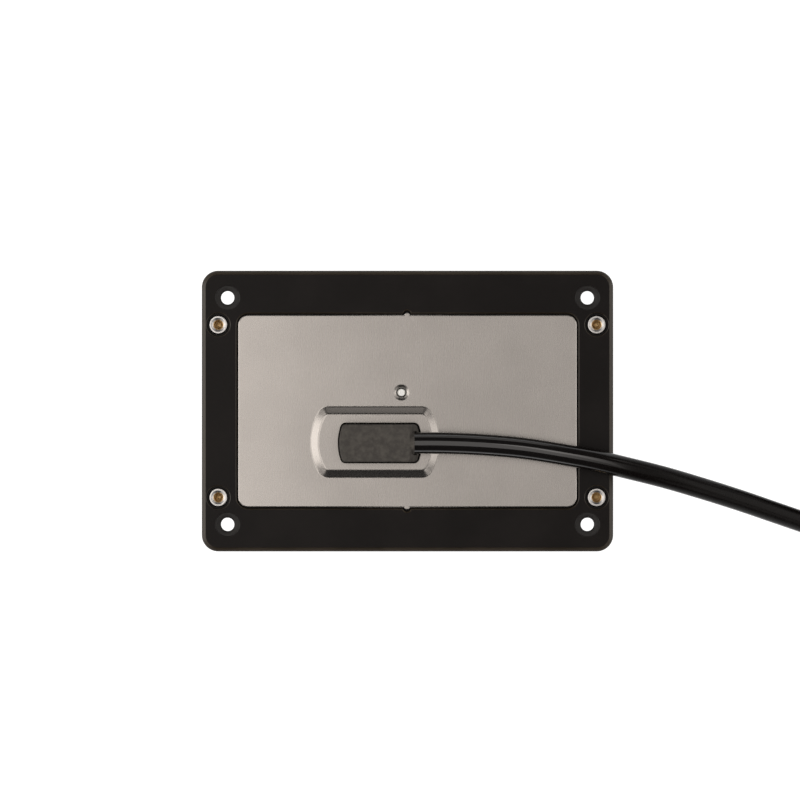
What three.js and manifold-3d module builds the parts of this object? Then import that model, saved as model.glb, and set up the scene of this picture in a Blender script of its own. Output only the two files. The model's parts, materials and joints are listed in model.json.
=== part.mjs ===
import * as THREE from 'three';
import { mergeVertices } from 'three/addons/utils/BufferGeometryUtils.js';
import Module from 'manifold-3d';

// Counter-top security tag detacher with a motor-driven curved probe.
// It lies on its nest face: z = 0 is the nest face, +Z points out of the underside.
// All sizes are in millimetres.

const wasm = await Module();
wasm.setup();

// ---------------------------------------------------------------- driving dimensions

const GAP = 0.3;

const FLANGE = { width: 137.3, depth: 93.7, thickness: 4.5, corner: 5.5, bevel: 0.7 };
const BODY = { width: 117, depth: 68, corner: 10, bevel: 1.6 };
const BACK_Z = 42;
const WALL = 3;
const CAVITY = { width: 110.5, depth: 61.5, corner: 7 };

const PLATE = { width: 113.1, depth: 64.2, thickness: 1.5, corner: 3.4 };
const WINDOW_CLEARANCE = 0.4;
const EAR = { x: -0.15, y: 32.0, radius: 1.0, notchRadius: 1.35, notchY: 32.2 };

const ISLAND = { x: -10.8, y: -10.3, width: 42.7, depth: 23.4, rise: 1.8, endRadius: 20, fillet: 4 };
const RELIEF = { x: -9.2, y: -10.6, width: 26.8, depth: 12.3, endRadius: 16.7, fillet: 1.2, top: 52.6 };
const RELIEF_FLANGE = { width: 32, depth: 15.4, thickness: 1.8 };
const RELIEF_SLOPE = { topX: 0.6, footX: 4.3, footZ: 44.6 };
const RELIEF_COLLAR = { radius: 4.2, endX: 2.3, clearance: 0.4 };
const SLOT_CLEARANCE = 0.35;

const STUD = { x: -2.03, y: 6.2, radius: 1.38, dimpleRadius: 2.5 };

const SCREW_HOLES = { spacingX: 120, spacingY: 75.6, radius: 2.25, ringRadius: 4, ringDepth: 0.3 };
const INSERTS = { spacingX: 126.2, spacingY: 57.6, radius: 3, bore: 1.6, chamfer: 0.6, length: 8 };
const INSERT_SOLID_END = 2.6;
const INSERT_COUNTERBORE = { radius: 3.95, depth: 1 };
const INSERT_BOSS = { radius: 4.9, length: 6, wall: 1.6 };

const NEST = { width: 66.4, depth: 27.4, corner: 3.2, wall: 1.5, floorTop: 11.2, front: 0.4 };
const NEST_FLANGE = { width: 82, depth: 34, low: 3.3, high: 4.8 };
const NEST_SCREW_X = 37.8;

const PROBE = { x: -4, z: 18, arcRadius: 15, wireRadius: 1, startDeg: 97, endDeg: 190, armDeg: 100 };
const GEAR_MODULE = 1;
const TEETH = { probe: 24, idlerSmall: 12, idlerLarge: 30, pinion: 10 };
const MESH_DEG = { probeToIdler: 15, idlerToMotor: 10 };

const CHASSIS = { low: 6, high: 37, left: -31.5, right: 51, plateY: 18, sheet: 1.5 };
const FOOT = { leftX: -23, rightX: 46, y: 24.5, halfWidth: 4 };

const MOTOR = { radius: 12, front: -17.6, back: 9, shaftRadius: 1 };

const BOARD = { left: -54, right: -33, halfDepth: 27, low: 21, thickness: 1.6 };
const LIGHT_PIPE = { x: -46.5, y: 0, radius: 2, front: 0.3, shoulder: 3.3, rear: 17.4, flange: 3.2 };

const PLUNGER = { x: -26.6, y: 2, buttonRadius: 3, stemRadius: 1.2, collarRadius: 4.2 };
const BRACKET = { low: 19, sheet: 1.2 };
const LEVER = { y: -5.6, z: 22, reach: 9 };

const CORD_DIAMETER = 7.2;
const COIL = { x: 187, y: -4, columns: [47.2, 39.8, 32.4], layer: 7.3 };

// ---------------------------------------------------------------- finishes

function finish(color, roughness, metalness) {
  return { color, roughness, metalness };
}

const FINISH = {
  blackPlastic: finish(0x211f1e, 0.42, 0),
  greyPlastic: finish(0x4c4e50, 0.5, 0),
  whitePlastic: finish(0xd9d6cd, 0.5, 0),
  rubber: finish(0x484541, 0.85, 0),
  cordSheath: finish(0x1b1818, 0.28, 0),
  platePolish: finish(0xb8b1a9, 0.32, 1),
  steel: finish(0xa9abad, 0.35, 1),
  zinc: finish(0xc4c6c4, 0.3, 1),
  brass: finish(0xb08d4c, 0.3, 1),
  bronze: finish(0x9a6b3c, 0.4, 1),
  acetal: finish(0xe4e0d4, 0.45, 0),
  board: finish(0x1f5a3a, 0.45, 0),
  lens: finish(0x9fd8a8, 0.15, 0),
};

// ---------------------------------------------------------------- solids

function toSolid(geometry) {
  const bare = geometry.clone();
  bare.deleteAttribute('normal');
  bare.deleteAttribute('uv');
  const merged = mergeVertices(bare, 1e-4);
  const index = merged.index.array;
  const kept = [];
  for (let i = 0; i < index.length; i += 3) {
    const [a, b, c] = [index[i], index[i + 1], index[i + 2]];
    if (a !== b && b !== c && c !== a) {
      kept.push(a, b, c);
    }
  }
  const vertProperties = new Float32Array(merged.attributes.position.array);
  const triVerts = new Uint32Array(kept);
  return new wasm.Manifold(new wasm.Mesh({ numProp: 3, vertProperties, triVerts }));
}

function toGeometry(solid) {
  const mesh = solid.getMesh();
  const geometry = new THREE.BufferGeometry();
  geometry.setAttribute('position', new THREE.BufferAttribute(mesh.vertProperties, 3));
  geometry.setIndex(new THREE.BufferAttribute(mesh.triVerts, 1));
  geometry.computeVertexNormals();
  return geometry;
}

function join(...solids) {
  return solids.reduce((whole, piece) => whole.add(piece));
}

function cut(solid, ...tools) {
  return tools.reduce((left, tool) => left.subtract(tool), solid);
}

const X = new THREE.Vector3(1, 0, 0);
const Y = new THREE.Vector3(0, 1, 0);
const Z = new THREE.Vector3(0, 0, 1);
const BASIS = {
  x: new THREE.Matrix4().makeBasis(Y, Z, X),
  y: new THREE.Matrix4().makeBasis(X, Z, Y.clone().negate()),
  z: new THREE.Matrix4(),
};

// A flat outline pulled along an axis: its own x and y become Y,Z or X,Z or X,Y.
function prism(shape, low, high, { axis = 'z', bevel = 0, curveSegments = 3 } = {}) {
  const geometry = new THREE.ExtrudeGeometry(shape, {
    depth: high - low - 2 * bevel,
    curveSegments,
    bevelEnabled: bevel > 0,
    bevelThickness: bevel,
    bevelSize: bevel,
    bevelOffset: -bevel,
    bevelSegments: 2,
  });
  geometry.translate(0, 0, (axis === 'y' ? -high : low) + bevel);
  geometry.applyMatrix4(BASIS[axis]);
  return toSolid(geometry);
}

// A round bar or cone frustum along an axis, at the other two coordinates.
function cone(lowRadius, highRadius, low, high, { axis = 'z', at = [0, 0], sides = 20 } = {}) {
  const geometry = new THREE.CylinderGeometry(highRadius, lowRadius, high - low, sides);
  geometry.translate(0, (low + high) / 2, 0);
  if (axis === 'z') {
    geometry.rotateX(Math.PI / 2);
    geometry.translate(at[0], at[1], 0);
  } else if (axis === 'y') {
    geometry.translate(at[0], 0, at[1]);
  } else {
    geometry.rotateZ(-Math.PI / 2);
    geometry.translate(0, at[0], at[1]);
  }
  return toSolid(geometry);
}

function rod(radius, low, high, options) {
  return cone(radius, radius, low, high, options);
}

function block(x0, x1, y0, y1, z0, z1) {
  const geometry = new THREE.BoxGeometry(x1 - x0, y1 - y0, z1 - z0);
  geometry.translate((x0 + x1) / 2, (y0 + y1) / 2, (z0 + z1) / 2);
  return toSolid(geometry);
}

// A profile of radius and height turned about the Z or the Y axis.
function turned(profile, { axis = 'z', sides = 20 } = {}) {
  const points = profile.map(([radius, height]) => new THREE.Vector2(radius, height));
  const geometry = new THREE.LatheGeometry(points, sides);
  if (axis === 'z') {
    geometry.rotateX(Math.PI / 2);
  }
  return toSolid(geometry);
}

function circleOutline(radius, sides) {
  const outline = new THREE.Shape();
  for (let i = 0; i < sides; i += 1) {
    const angle = (2 * Math.PI * i) / sides;
    const point = [radius * Math.cos(angle), radius * Math.sin(angle)];
    if (i === 0) {
      outline.moveTo(...point);
    } else {
      outline.lineTo(...point);
    }
  }
  outline.closePath();
  return outline;
}

// A round tube along a curve.
function tube(curve, radius, steps, sides) {
  const options = { steps, extrudePath: curve, bevelEnabled: false };
  return toSolid(new THREE.ExtrudeGeometry(circleOutline(radius, sides), options));
}

function roundedRectangle(width, depth, radius, x = 0, y = 0) {
  const [hx, hy] = [width / 2 - radius, depth / 2 - radius];
  const shape = new THREE.Shape();
  shape.absarc(x + hx, y + hy, radius, 0, Math.PI / 2);
  shape.absarc(x - hx, y + hy, radius, Math.PI / 2, Math.PI);
  shape.absarc(x - hx, y - hy, radius, Math.PI, 1.5 * Math.PI);
  shape.absarc(x + hx, y - hy, radius, 1.5 * Math.PI, 2 * Math.PI);
  shape.closePath();
  return shape;
}

// Straight long sides, bowed ends and filleted corners.
function bowedOutline({ x, y, width, depth, endRadius, fillet }) {
  const endX = width / 2 - endRadius;
  const filletY = depth / 2 - fillet;
  const filletX = endX + Math.sqrt((endRadius - fillet) ** 2 - filletY ** 2);
  const turn = Math.atan2(filletY, filletX - endX);
  const shape = new THREE.Shape();
  shape.absarc(x + endX, y, endRadius, -turn, turn);
  shape.absarc(x + filletX, y + filletY, fillet, turn, Math.PI / 2);
  shape.absarc(x - filletX, y + filletY, fillet, Math.PI / 2, Math.PI - turn);
  shape.absarc(x - endX, y, endRadius, Math.PI - turn, Math.PI + turn);
  shape.absarc(x - filletX, y - filletY, fillet, Math.PI + turn, 1.5 * Math.PI);
  shape.absarc(x + filletX, y - filletY, fillet, 1.5 * Math.PI, 2 * Math.PI - turn);
  shape.closePath();
  return shape;
}

function grown(outline, amount) {
  return { ...outline, width: outline.width + 2 * amount, depth: outline.depth + 2 * amount };
}

function corners(spacingX, spacingY) {
  return [[-1, 1], [1, 1], [-1, -1], [1, -1]].map(([sx, sy]) => [sx * spacingX / 2, sy * spacingY / 2]);
}

// ---------------------------------------------------------------- scene graph

const detacher = new THREE.Group();

function addPiece(parent, name, solid, look, position = [0, 0, 0]) {
  const material = new THREE.MeshStandardMaterial(look);
  const mesh = new THREE.Mesh(toGeometry(solid), material);
  mesh.name = name;
  mesh.position.set(...position);
  parent.add(mesh);
  return mesh;
}

function addGroup(x, y, z) {
  const group = new THREE.Group();
  group.position.set(x, y, z);
  detacher.add(group);
  return group;
}

// A pan-head screw pointing down, its head's underside at z = 0.
function panScrew(shankRadius, length, headRadius, headHeight) {
  const head = rod(headRadius, 0, headHeight, { sides: 24 });
  const shank = rod(shankRadius, -length, 0.1, { sides: 16 });
  const slot = block(-headRadius, headRadius, -0.35, 0.35, headHeight - 0.7, headHeight + 1);
  return cut(join(head, shank), slot);
}

// ---------------------------------------------------------------- housing

const LEDGE_Z = BACK_Z - PLATE.thickness - GAP;
const FLANGE_LOW = BACK_Z - FLANGE.thickness;
const BOARD_POSTS = corners(BOARD.right - BOARD.left - 5, 2 * BOARD.halfDepth - 6)
  .map(([x, y]) => [x + (BOARD.left + BOARD.right) / 2, y]);
const FEET = [
  [FOOT.leftX, FOOT.y],
  [FOOT.rightX, FOOT.y],
  [FOOT.leftX, -FOOT.y],
  [FOOT.rightX, -FOOT.y],
];

function housingShell() {
  const flangeOutline = roundedRectangle(FLANGE.width, FLANGE.depth, FLANGE.corner);
  const bodyOutline = roundedRectangle(BODY.width, BODY.depth, BODY.corner);
  const cavityOutline = roundedRectangle(CAVITY.width, CAVITY.depth, CAVITY.corner);
  const windowOutline = roundedRectangle(
    PLATE.width + 2 * WINDOW_CLEARANCE,
    PLATE.depth + 2 * WINDOW_CLEARANCE,
    PLATE.corner + WINDOW_CLEARANCE,
  );
  const nestOutline = roundedRectangle(
    NEST.width + 2 * (NEST.wall + GAP),
    NEST.depth + 2 * (NEST.wall + GAP),
    NEST.corner + NEST.wall + GAP,
  );
  let shell = join(
    prism(flangeOutline, FLANGE_LOW, BACK_Z, { bevel: FLANGE.bevel }),
    prism(bodyOutline, 0, FLANGE_LOW + 2, { bevel: BODY.bevel }),
  );
  const bossLow = FLANGE_LOW - INSERT_BOSS.length;
  for (const at of corners(INSERTS.spacingX, INSERTS.spacingY)) {
    shell = join(shell, rod(INSERT_BOSS.radius, bossLow, FLANGE_LOW + 1, { at, sides: 20 }));
  }
  shell = cut(
    shell,
    prism(cavityOutline, WALL, BACK_Z + 1),
    prism(windowOutline, LEDGE_Z, BACK_Z + 1),
    prism(nestOutline, -1, WALL + 1),
    rod(LIGHT_PIPE.radius + GAP, -1, WALL + 1, { at: [LIGHT_PIPE.x, LIGHT_PIPE.y], sides: 20 }),
  );
  for (const side of [-1, 1]) {
    const at = [EAR.x, side * EAR.notchY];
    shell = cut(shell, rod(EAR.notchRadius, LEDGE_Z, BACK_Z + 1, { at, sides: 20 }));
  }
  for (const at of corners(SCREW_HOLES.spacingX, SCREW_HOLES.spacingY)) {
    const { radius, ringRadius, ringDepth } = SCREW_HOLES;
    shell = cut(
      shell,
      rod(radius, FLANGE_LOW - 1, BACK_Z + 1, { at }),
      rod(ringRadius, BACK_Z - ringDepth, BACK_Z + 1, { at }),
      cone(4.6, radius, FLANGE_LOW - 0.1, FLANGE_LOW + 2.2, { at }),
    );
  }
  for (const at of corners(INSERTS.spacingX, INSERTS.spacingY)) {
    const { radius, depth } = INSERT_COUNTERBORE;
    shell = cut(
      shell,
      rod(INSERTS.radius + GAP, bossLow + INSERT_BOSS.wall, BACK_Z + 1, { at, sides: 20 }),
      rod(radius, BACK_Z - depth, BACK_Z + 1, { at, sides: 20 }),
    );
  }
  for (const at of BOARD_POSTS) {
    const post = rod(2.6, WALL - 0.5, BOARD.low - GAP, { at, sides: 12 });
    shell = cut(join(shell, post), rod(1.4, 13, BOARD.low, { at, sides: 12 }));
  }
  for (const at of FEET) {
    const post = rod(3.2, WALL - 0.5, CHASSIS.low - GAP, { at, sides: 16 });
    shell = cut(join(shell, post), rod(1.6, 1.2, CHASSIS.low, { at, sides: 12 }));
  }
  for (const x of [-NEST_SCREW_X, NEST_SCREW_X]) {
    shell = cut(shell, rod(1.4, 0.9, WALL + 1, { at: [x, 0], sides: 12 }));
  }
  return shell;
}

function basePlate() {
  const bottom = BACK_Z - PLATE.thickness;
  const pocketInset = ISLAND.rise + 0.5;
  const dimple = [STUD.x, STUD.y];
  let plate = join(
    prism(roundedRectangle(PLATE.width, PLATE.depth, PLATE.corner), bottom, BACK_Z, { bevel: 0.3 }),
    prism(bowedOutline(ISLAND), BACK_Z - 1 - ISLAND.rise, BACK_Z + ISLAND.rise, { bevel: ISLAND.rise }),
  );
  for (const side of [-1, 1]) {
    plate = join(plate, rod(EAR.radius, bottom, BACK_Z - 0.1, { at: [EAR.x, side * EAR.y], sides: 20 }));
  }
  const outerBelow = block(-60, 60, -40, 40, bottom - 10, bottom);
  return cut(
    plate,
    outerBelow,
    prism(bowedOutline(grown(ISLAND, -pocketInset)), bottom - 1, BACK_Z + ISLAND.rise - PLATE.thickness),
    prism(bowedOutline(grown(RELIEF, SLOT_CLEARANCE)), bottom - 1, BACK_Z + ISLAND.rise + 1),
    cone(STUD.radius + GAP, STUD.dimpleRadius, BACK_Z - 0.9, BACK_Z, { at: dimple }),
    rod(STUD.dimpleRadius, BACK_Z - 0.001, BACK_Z + 1, { at: dimple }),
    rod(STUD.radius + GAP, bottom - 1, BACK_Z, { at: dimple }),
  );
}

function groundStud() {
  return turned([[0, -7], [STUD.radius, -7], [STUD.radius, -0.25], [STUD.radius - 0.25, 0], [0, 0]]);
}

function hexNut(acrossCorners, bore, height) {
  return cut(rod(acrossCorners / 2, 0, height, { sides: 6 }), rod(bore, -1, height + 1, { sides: 16 }));
}

function threadedInsert() {
  const { radius, bore, chamfer, length } = INSERTS;
  return turned([
    [0, 0],
    [radius, 0],
    [radius, length - 0.25],
    [radius - 0.2, length],
    [bore + chamfer, length],
    [bore, length - chamfer],
    [bore, INSERT_SOLID_END],
    [0, INSERT_SOLID_END - 0.5],
  ]);
}

const housing = addGroup(0, 0, 0);
addPiece(housing, 'housing_shell', housingShell(), FINISH.blackPlastic);
addPiece(housing, 'base_plate', basePlate(), FINISH.platePolish);
addPiece(housing, 'ground_stud', groundStud(), FINISH.zinc, [STUD.x, STUD.y, BACK_Z - 0.3]);
const nutPosition = [STUD.x, STUD.y, BACK_Z - PLATE.thickness - GAP - 2.2];
addPiece(housing, 'ground_nut', hexNut(5.4, STUD.radius + GAP, 2.2), FINISH.zinc, nutPosition);
corners(INSERTS.spacingX, INSERTS.spacingY).forEach(([x, y], i) => {
  const position = [x, y, BACK_Z - 0.6 - INSERTS.length];
  addPiece(housing, `threaded_insert_${i + 1}`, threadedInsert(), FINISH.brass, position);
});

// ---------------------------------------------------------------- tag nest

function nestInsert() {
  const outer = roundedRectangle(
    NEST.width + 2 * NEST.wall,
    NEST.depth + 2 * NEST.wall,
    NEST.corner + NEST.wall,
  );
  const inner = roundedRectangle(NEST.width, NEST.depth, NEST.corner);
  const flange = roundedRectangle(NEST_FLANGE.width, NEST_FLANGE.depth, 4);
  const floorLow = NEST.floorTop - NEST.wall;
  const slotX = PROBE.x - 13;
  return cut(
    join(prism(outer, NEST.front, NEST.floorTop), prism(flange, NEST_FLANGE.low, NEST_FLANGE.high)),
    prism(inner, -1, floorLow),
    block(slotX - 3.2, slotX + 3.2, -2, 2, floorLow - 1, NEST.floorTop + 1),
    rod(PLUNGER.buttonRadius + GAP, 0, NEST.floorTop + 1, { at: [PLUNGER.x, PLUNGER.y], sides: 24 }),
    rod(1.4, 0, 6, { at: [-NEST_SCREW_X, 0], sides: 12 }),
    rod(1.4, 0, 6, { at: [NEST_SCREW_X, 0], sides: 12 }),
  );
}

function lightPipe() {
  const { radius, front, shoulder, rear, flange } = LIGHT_PIPE;
  return turned([
    [0, front],
    [radius - 0.2, front],
    [radius, front + 0.2],
    [radius, shoulder],
    [flange, shoulder],
    [flange, shoulder + 1],
    [radius, shoulder + 1],
    [radius, rear],
    [0, rear],
  ]);
}

const nest = addGroup(0, 0, 0);
addPiece(nest, 'nest_insert', nestInsert(), FINISH.steel);
[-NEST_SCREW_X, NEST_SCREW_X].forEach((x, i) => {
  const screw = panScrew(1.1, 3.8, 2.1, 1.4);
  addPiece(nest, `nest_screw_${i + 1}`, screw, FINISH.zinc, [x, 0, NEST_FLANGE.high + GAP]);
});
addPiece(nest, 'light_pipe', lightPipe(), FINISH.lens, [LIGHT_PIPE.x, LIGHT_PIPE.y, 0]);

// ---------------------------------------------------------------- chassis

const IDLER = offset([PROBE.x, PROBE.z], MESH_DEG.probeToIdler, (TEETH.probe + TEETH.idlerSmall) / 2);
const ROTOR = offset(IDLER, MESH_DEG.idlerToMotor, (TEETH.idlerLarge + TEETH.pinion) / 2);
const PROBE_SHAFT_RADIUS = 2;
const IDLER_SHAFT_RADIUS = 1.5;
const SPACERS = [[8, 34], [47.5, 15]];
const MOTOR_SCREW_OFFSET = 8;

function offset([x, z], degrees, modules) {
  const angle = THREE.MathUtils.degToRad(degrees);
  const distance = modules * GEAR_MODULE;
  return [x + distance * Math.cos(angle), z + distance * Math.sin(angle)];
}

function chassisPlate(side) {
  const { low, high, left, right, plateY, sheet } = CHASSIS;
  const [near, far] = side > 0 ? [plateY, plateY + sheet] : [-plateY - sheet, -plateY];
  const span = { axis: 'y', sides: 24 };
  let plate = block(left, right, near, far, low, high);
  for (const footX of [FOOT.leftX, FOOT.rightX]) {
    const [footLow, footHigh] = side > 0 ? [near, 28.8] : [-28.8, far];
    const foot = block(footX - FOOT.halfWidth, footX + FOOT.halfWidth, footLow, footHigh, low, low + sheet);
    plate = join(plate, foot);
    plate = cut(plate, rod(1.6, 0, 10, { at: [footX, side * FOOT.y], sides: 16 }));
  }
  const through = [
    rod(PROBE_SHAFT_RADIUS + 1.6, near - 1, far + 1, { ...span, at: [PROBE.x, PROBE.z] }),
    rod(IDLER_SHAFT_RADIUS + 1.6, near - 1, far + 1, { ...span, at: IDLER }),
    ...SPACERS.map((at) => rod(1.7, near - 1, far + 1, { ...span, at })),
  ];
  if (side < 0) {
    through.push(rod(4, near - 1, far + 1, { ...span, at: ROTOR }));
    for (const dx of [-MOTOR_SCREW_OFFSET, MOTOR_SCREW_OFFSET]) {
      through.push(rod(1.5, near - 1, far + 1, { ...span, at: [ROTOR[0] + dx, ROTOR[1]] }));
    }
  }
  return cut(plate, ...through);
}

function spacer() {
  const inner = CHASSIS.plateY - GAP;
  const end = inner + 2.4;
  const tip = 1.4;
  const barrel = 2.5;
  return turned([
    [0, -end],
    [tip, -end],
    [tip, -inner],
    [barrel, -inner],
    [barrel, inner],
    [tip, inner],
    [tip, end],
    [0, end],
  ], { axis: 'y' });
}

// A flanged sleeve whose flange sits inside its chassis plate, its bore on the Y axis.
function bushing(shaftRadius, side) {
  const bore = shaftRadius + GAP;
  const sleeve = shaftRadius + 1.3;
  const flange = shaftRadius + 2.3;
  const inner = CHASSIS.plateY - GAP - 1;
  const shoulder = inner + 1;
  const end = inner + 2.8;
  const points = [
    [bore, inner],
    [flange, inner],
    [flange, shoulder],
    [sleeve, shoulder],
    [sleeve, end],
    [bore, end],
    [bore, inner],
  ];
  const ordered = side > 0 ? points : points.map(([r, y]) => [r, -y]).reverse();
  return turned(ordered, { axis: 'y' });
}

const chassis = addGroup(0, 0, 0);
addPiece(chassis, 'chassis_plate_front', chassisPlate(-1), FINISH.zinc);
addPiece(chassis, 'chassis_plate_rear', chassisPlate(1), FINISH.zinc);
SPACERS.forEach(([x, z], i) => {
  addPiece(chassis, `chassis_spacer_${i + 1}`, spacer(), FINISH.steel, [x, 0, z]);
});
FEET.forEach(([x, y], i) => {
  const screw = panScrew(1.25, 5.6, 2.6, 1.8);
  const place = [x, y, CHASSIS.low + CHASSIS.sheet + GAP];
  addPiece(chassis, `chassis_screw_${i + 1}`, screw, FINISH.zinc, place);
});
[-1, 1].forEach((side, i) => {
  const probePosition = [PROBE.x, 0, PROBE.z];
  const idlerPosition = [IDLER[0], 0, IDLER[1]];
  const probeBushing = bushing(PROBE_SHAFT_RADIUS, side);
  addPiece(chassis, `probe_bushing_${i + 1}`, probeBushing, FINISH.bronze, probePosition);
  const idlerBushing = bushing(IDLER_SHAFT_RADIUS, side);
  addPiece(chassis, `idler_bushing_${i + 1}`, idlerBushing, FINISH.bronze, idlerPosition);
});

// ---------------------------------------------------------------- gear train

const PRESSURE_ANGLE = THREE.MathUtils.degToRad(25);
const ADDENDUM = 0.7;
const DEDENDUM = 1.15;
const BACKLASH = 0.12;
const GEAR_PLANES = { probe: [-24, -20.6], large: [-28.4, -25] };

function involute(angle) {
  return Math.tan(angle) - angle;
}

// An external spur gear's outline with one tooth centred on toothDeg.
function gearOutline(teeth, toothDeg) {
  const pitchRadius = (teeth * GEAR_MODULE) / 2;
  const baseRadius = pitchRadius * Math.cos(PRESSURE_ANGLE);
  const rootRadius = pitchRadius - DEDENDUM;
  const tipRadius = pitchRadius + ADDENDUM;
  const flankStart = Math.max(baseRadius, rootRadius + 0.1);
  const halfPitch = (Math.PI / 4 - BACKLASH) / pitchRadius;
  const halfAngle = (radius) => {
    const at = Math.acos(Math.min(1, baseRadius / radius));
    return halfPitch + involute(PRESSURE_ANGLE) - involute(at);
  };
  const radii = [0, 0.5, 1].map((part) => flankStart + part * (tipRadius - flankStart));
  const shape = new THREE.Shape();
  for (let tooth = 0; tooth < teeth; tooth += 1) {
    const centre = THREE.MathUtils.degToRad(toothDeg) + (2 * Math.PI * tooth) / teeth;
    const rootHalf = halfAngle(flankStart);
    const rising = [[rootRadius, centre - rootHalf], ...radii.map((r) => [r, centre - halfAngle(r)])];
    const falling = [...radii].reverse().map((r) => [r, centre + halfAngle(r)]);
    falling.push([rootRadius, centre + rootHalf]);
    [...rising, ...falling].forEach(([radius, angle], i) => {
      const point = [radius * Math.cos(angle), radius * Math.sin(angle)];
      if (tooth === 0 && i === 0) {
        shape.moveTo(...point);
      } else {
        shape.lineTo(...point);
      }
    });
  }
  shape.closePath();
  return shape;
}

function gear(teeth, toothDeg, [low, high]) {
  return prism(gearOutline(teeth, toothDeg), low, high, { axis: 'y' });
}

// The direction of a gap, half a tooth pitch away from the tooth it is measured from.
function gapFacing(teeth, degrees) {
  return degrees + 180 / teeth;
}

class ProbeArc extends THREE.Curve {
  constructor(startDeg, endDeg) {
    super();
    this.start = THREE.MathUtils.degToRad(startDeg);
    this.sweep = THREE.MathUtils.degToRad(endDeg - startDeg);
  }

  getPoint(t, target = new THREE.Vector3()) {
    const angle = this.start + t * this.sweep;
    return target.set(PROBE.arcRadius * Math.cos(angle), 0, PROBE.arcRadius * Math.sin(angle));
  }
}

function probeHub() {
  const armAngle = THREE.MathUtils.degToRad(PROBE.armDeg);
  const arm = block(0, PROBE.arcRadius + 1.5, -2, 2, -2, 2)
    .rotate([0, -THREE.MathUtils.radToDeg(armAngle), 0]);
  const hub = rod(5, -6, 6, { axis: 'y', sides: 20 });
  const wireHole = tube(new ProbeArc(PROBE.startDeg - 2, PROBE.armDeg + 20), PROBE.wireRadius + GAP, 8, 10);
  return cut(join(hub, arm), rod(PROBE_SHAFT_RADIUS + GAP, -10, 10, { axis: 'y', sides: 24 }), wireHole);
}

function probeGear() {
  const bore = rod(PROBE_SHAFT_RADIUS + GAP, -30, 0, { axis: 'y', sides: 24 });
  return cut(gear(TEETH.probe, MESH_DEG.probeToIdler, GEAR_PLANES.probe), bore);
}

function idlerGear() {
  const smallTooth = gapFacing(TEETH.idlerSmall, MESH_DEG.probeToIdler + 180);
  const small = gear(TEETH.idlerSmall, smallTooth, GEAR_PLANES.probe);
  const large = gear(TEETH.idlerLarge, MESH_DEG.idlerToMotor, GEAR_PLANES.large);
  const collar = rod(4.4, GEAR_PLANES.large[1] - 0.5, GEAR_PLANES.probe[0] + 0.5, { axis: 'y', sides: 24 });
  const bore = rod(IDLER_SHAFT_RADIUS + GAP, -30, 0, { axis: 'y', sides: 24 });
  return cut(join(small, large, collar), bore);
}

function motorPinion() {
  const toothDeg = gapFacing(TEETH.pinion, MESH_DEG.idlerToMotor + 180);
  const bore = rod(MOTOR.shaftRadius + GAP, -30, 0, { axis: 'y', sides: 16 });
  return cut(gear(TEETH.pinion, toothDeg, GEAR_PLANES.large), bore);
}

const probe = addGroup(PROBE.x, 0, PROBE.z);
const probeWire = tube(new ProbeArc(PROBE.startDeg, PROBE.endDeg), PROBE.wireRadius, 18, 10);
addPiece(probe, 'probe_hub', probeHub(), FINISH.steel);
addPiece(probe, 'probe_wire', probeWire, FINISH.steel);
addPiece(probe, 'probe_gear', probeGear(), FINISH.acetal);
const probeShaft = rod(PROBE_SHAFT_RADIUS, -24.6, 21.5, { axis: 'y', sides: 24 });
addPiece(probe, 'probe_shaft', probeShaft, FINISH.steel);

const idler = addGroup(IDLER[0], 0, IDLER[1]);
addPiece(idler, 'idler_gear', idlerGear(), FINISH.acetal);
const idlerShaft = rod(IDLER_SHAFT_RADIUS, -29.2, 21.5, { axis: 'y', sides: 20 });
addPiece(idler, 'idler_shaft', idlerShaft, FINISH.steel);

const rotor = addGroup(ROTOR[0], 0, ROTOR[1]);
addPiece(rotor, 'motor_pinion', motorPinion(), FINISH.brass);
const motorShaft = rod(MOTOR.shaftRadius, -29.2, 13.8, { axis: 'y', sides: 16 });
addPiece(rotor, 'motor_shaft', motorShaft, FINISH.steel);

// ---------------------------------------------------------------- motor

function motorCan() {
  const can = rod(MOTOR.radius, MOTOR.front, MOTOR.back, { axis: 'y', sides: 32 });
  const holes = [-MOTOR_SCREW_OFFSET, MOTOR_SCREW_OFFSET].map(
    (dx) => rod(1.5, MOTOR.front - 1, MOTOR.front + 4, { axis: 'y', at: [dx, 0], sides: 12 }),
  );
  return cut(can, rod(MOTOR.shaftRadius + GAP, -30, 30, { axis: 'y', sides: 16 }), ...holes);
}

function motorEndCap() {
  const cap = rod(MOTOR.radius - 0.4, MOTOR.back + GAP, MOTOR.back + 3.6, { axis: 'y', sides: 32 });
  const boss = rod(4, MOTOR.back + 3.5, MOTOR.back + 4.4, { axis: 'y', sides: 20 });
  return cut(join(cap, boss), rod(MOTOR.shaftRadius + GAP, -30, 30, { axis: 'y', sides: 16 }));
}

const motor = addGroup(ROTOR[0], 0, ROTOR[1]);
addPiece(motor, 'motor_can', motorCan(), FINISH.zinc);
addPiece(motor, 'motor_end_cap', motorEndCap(), FINISH.blackPlastic);
[-1, 1].forEach((side, i) => {
  const z = 7.5 * side;
  const tab = block(-1.3, 1.3, MOTOR.back + 3.9, MOTOR.back + 7.6, z - 0.3, z + 0.3);
  addPiece(motor, `motor_terminal_${i + 1}`, tab, FINISH.brass);
  const screw = panScrew(1.2, 4.6, 2.2, 1.5);
  const head = -CHASSIS.plateY - CHASSIS.sheet - GAP;
  const place = [side * MOTOR_SCREW_OFFSET, head, 0];
  const mesh = addPiece(motor, `motor_screw_${i + 1}`, screw, FINISH.zinc, place);
  mesh.rotation.x = Math.PI / 2;
});

// ---------------------------------------------------------------- electronics

const BOARD_TOP = BOARD.low + BOARD.thickness;
const HEADER = { x: -44, y: -16 };

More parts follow.
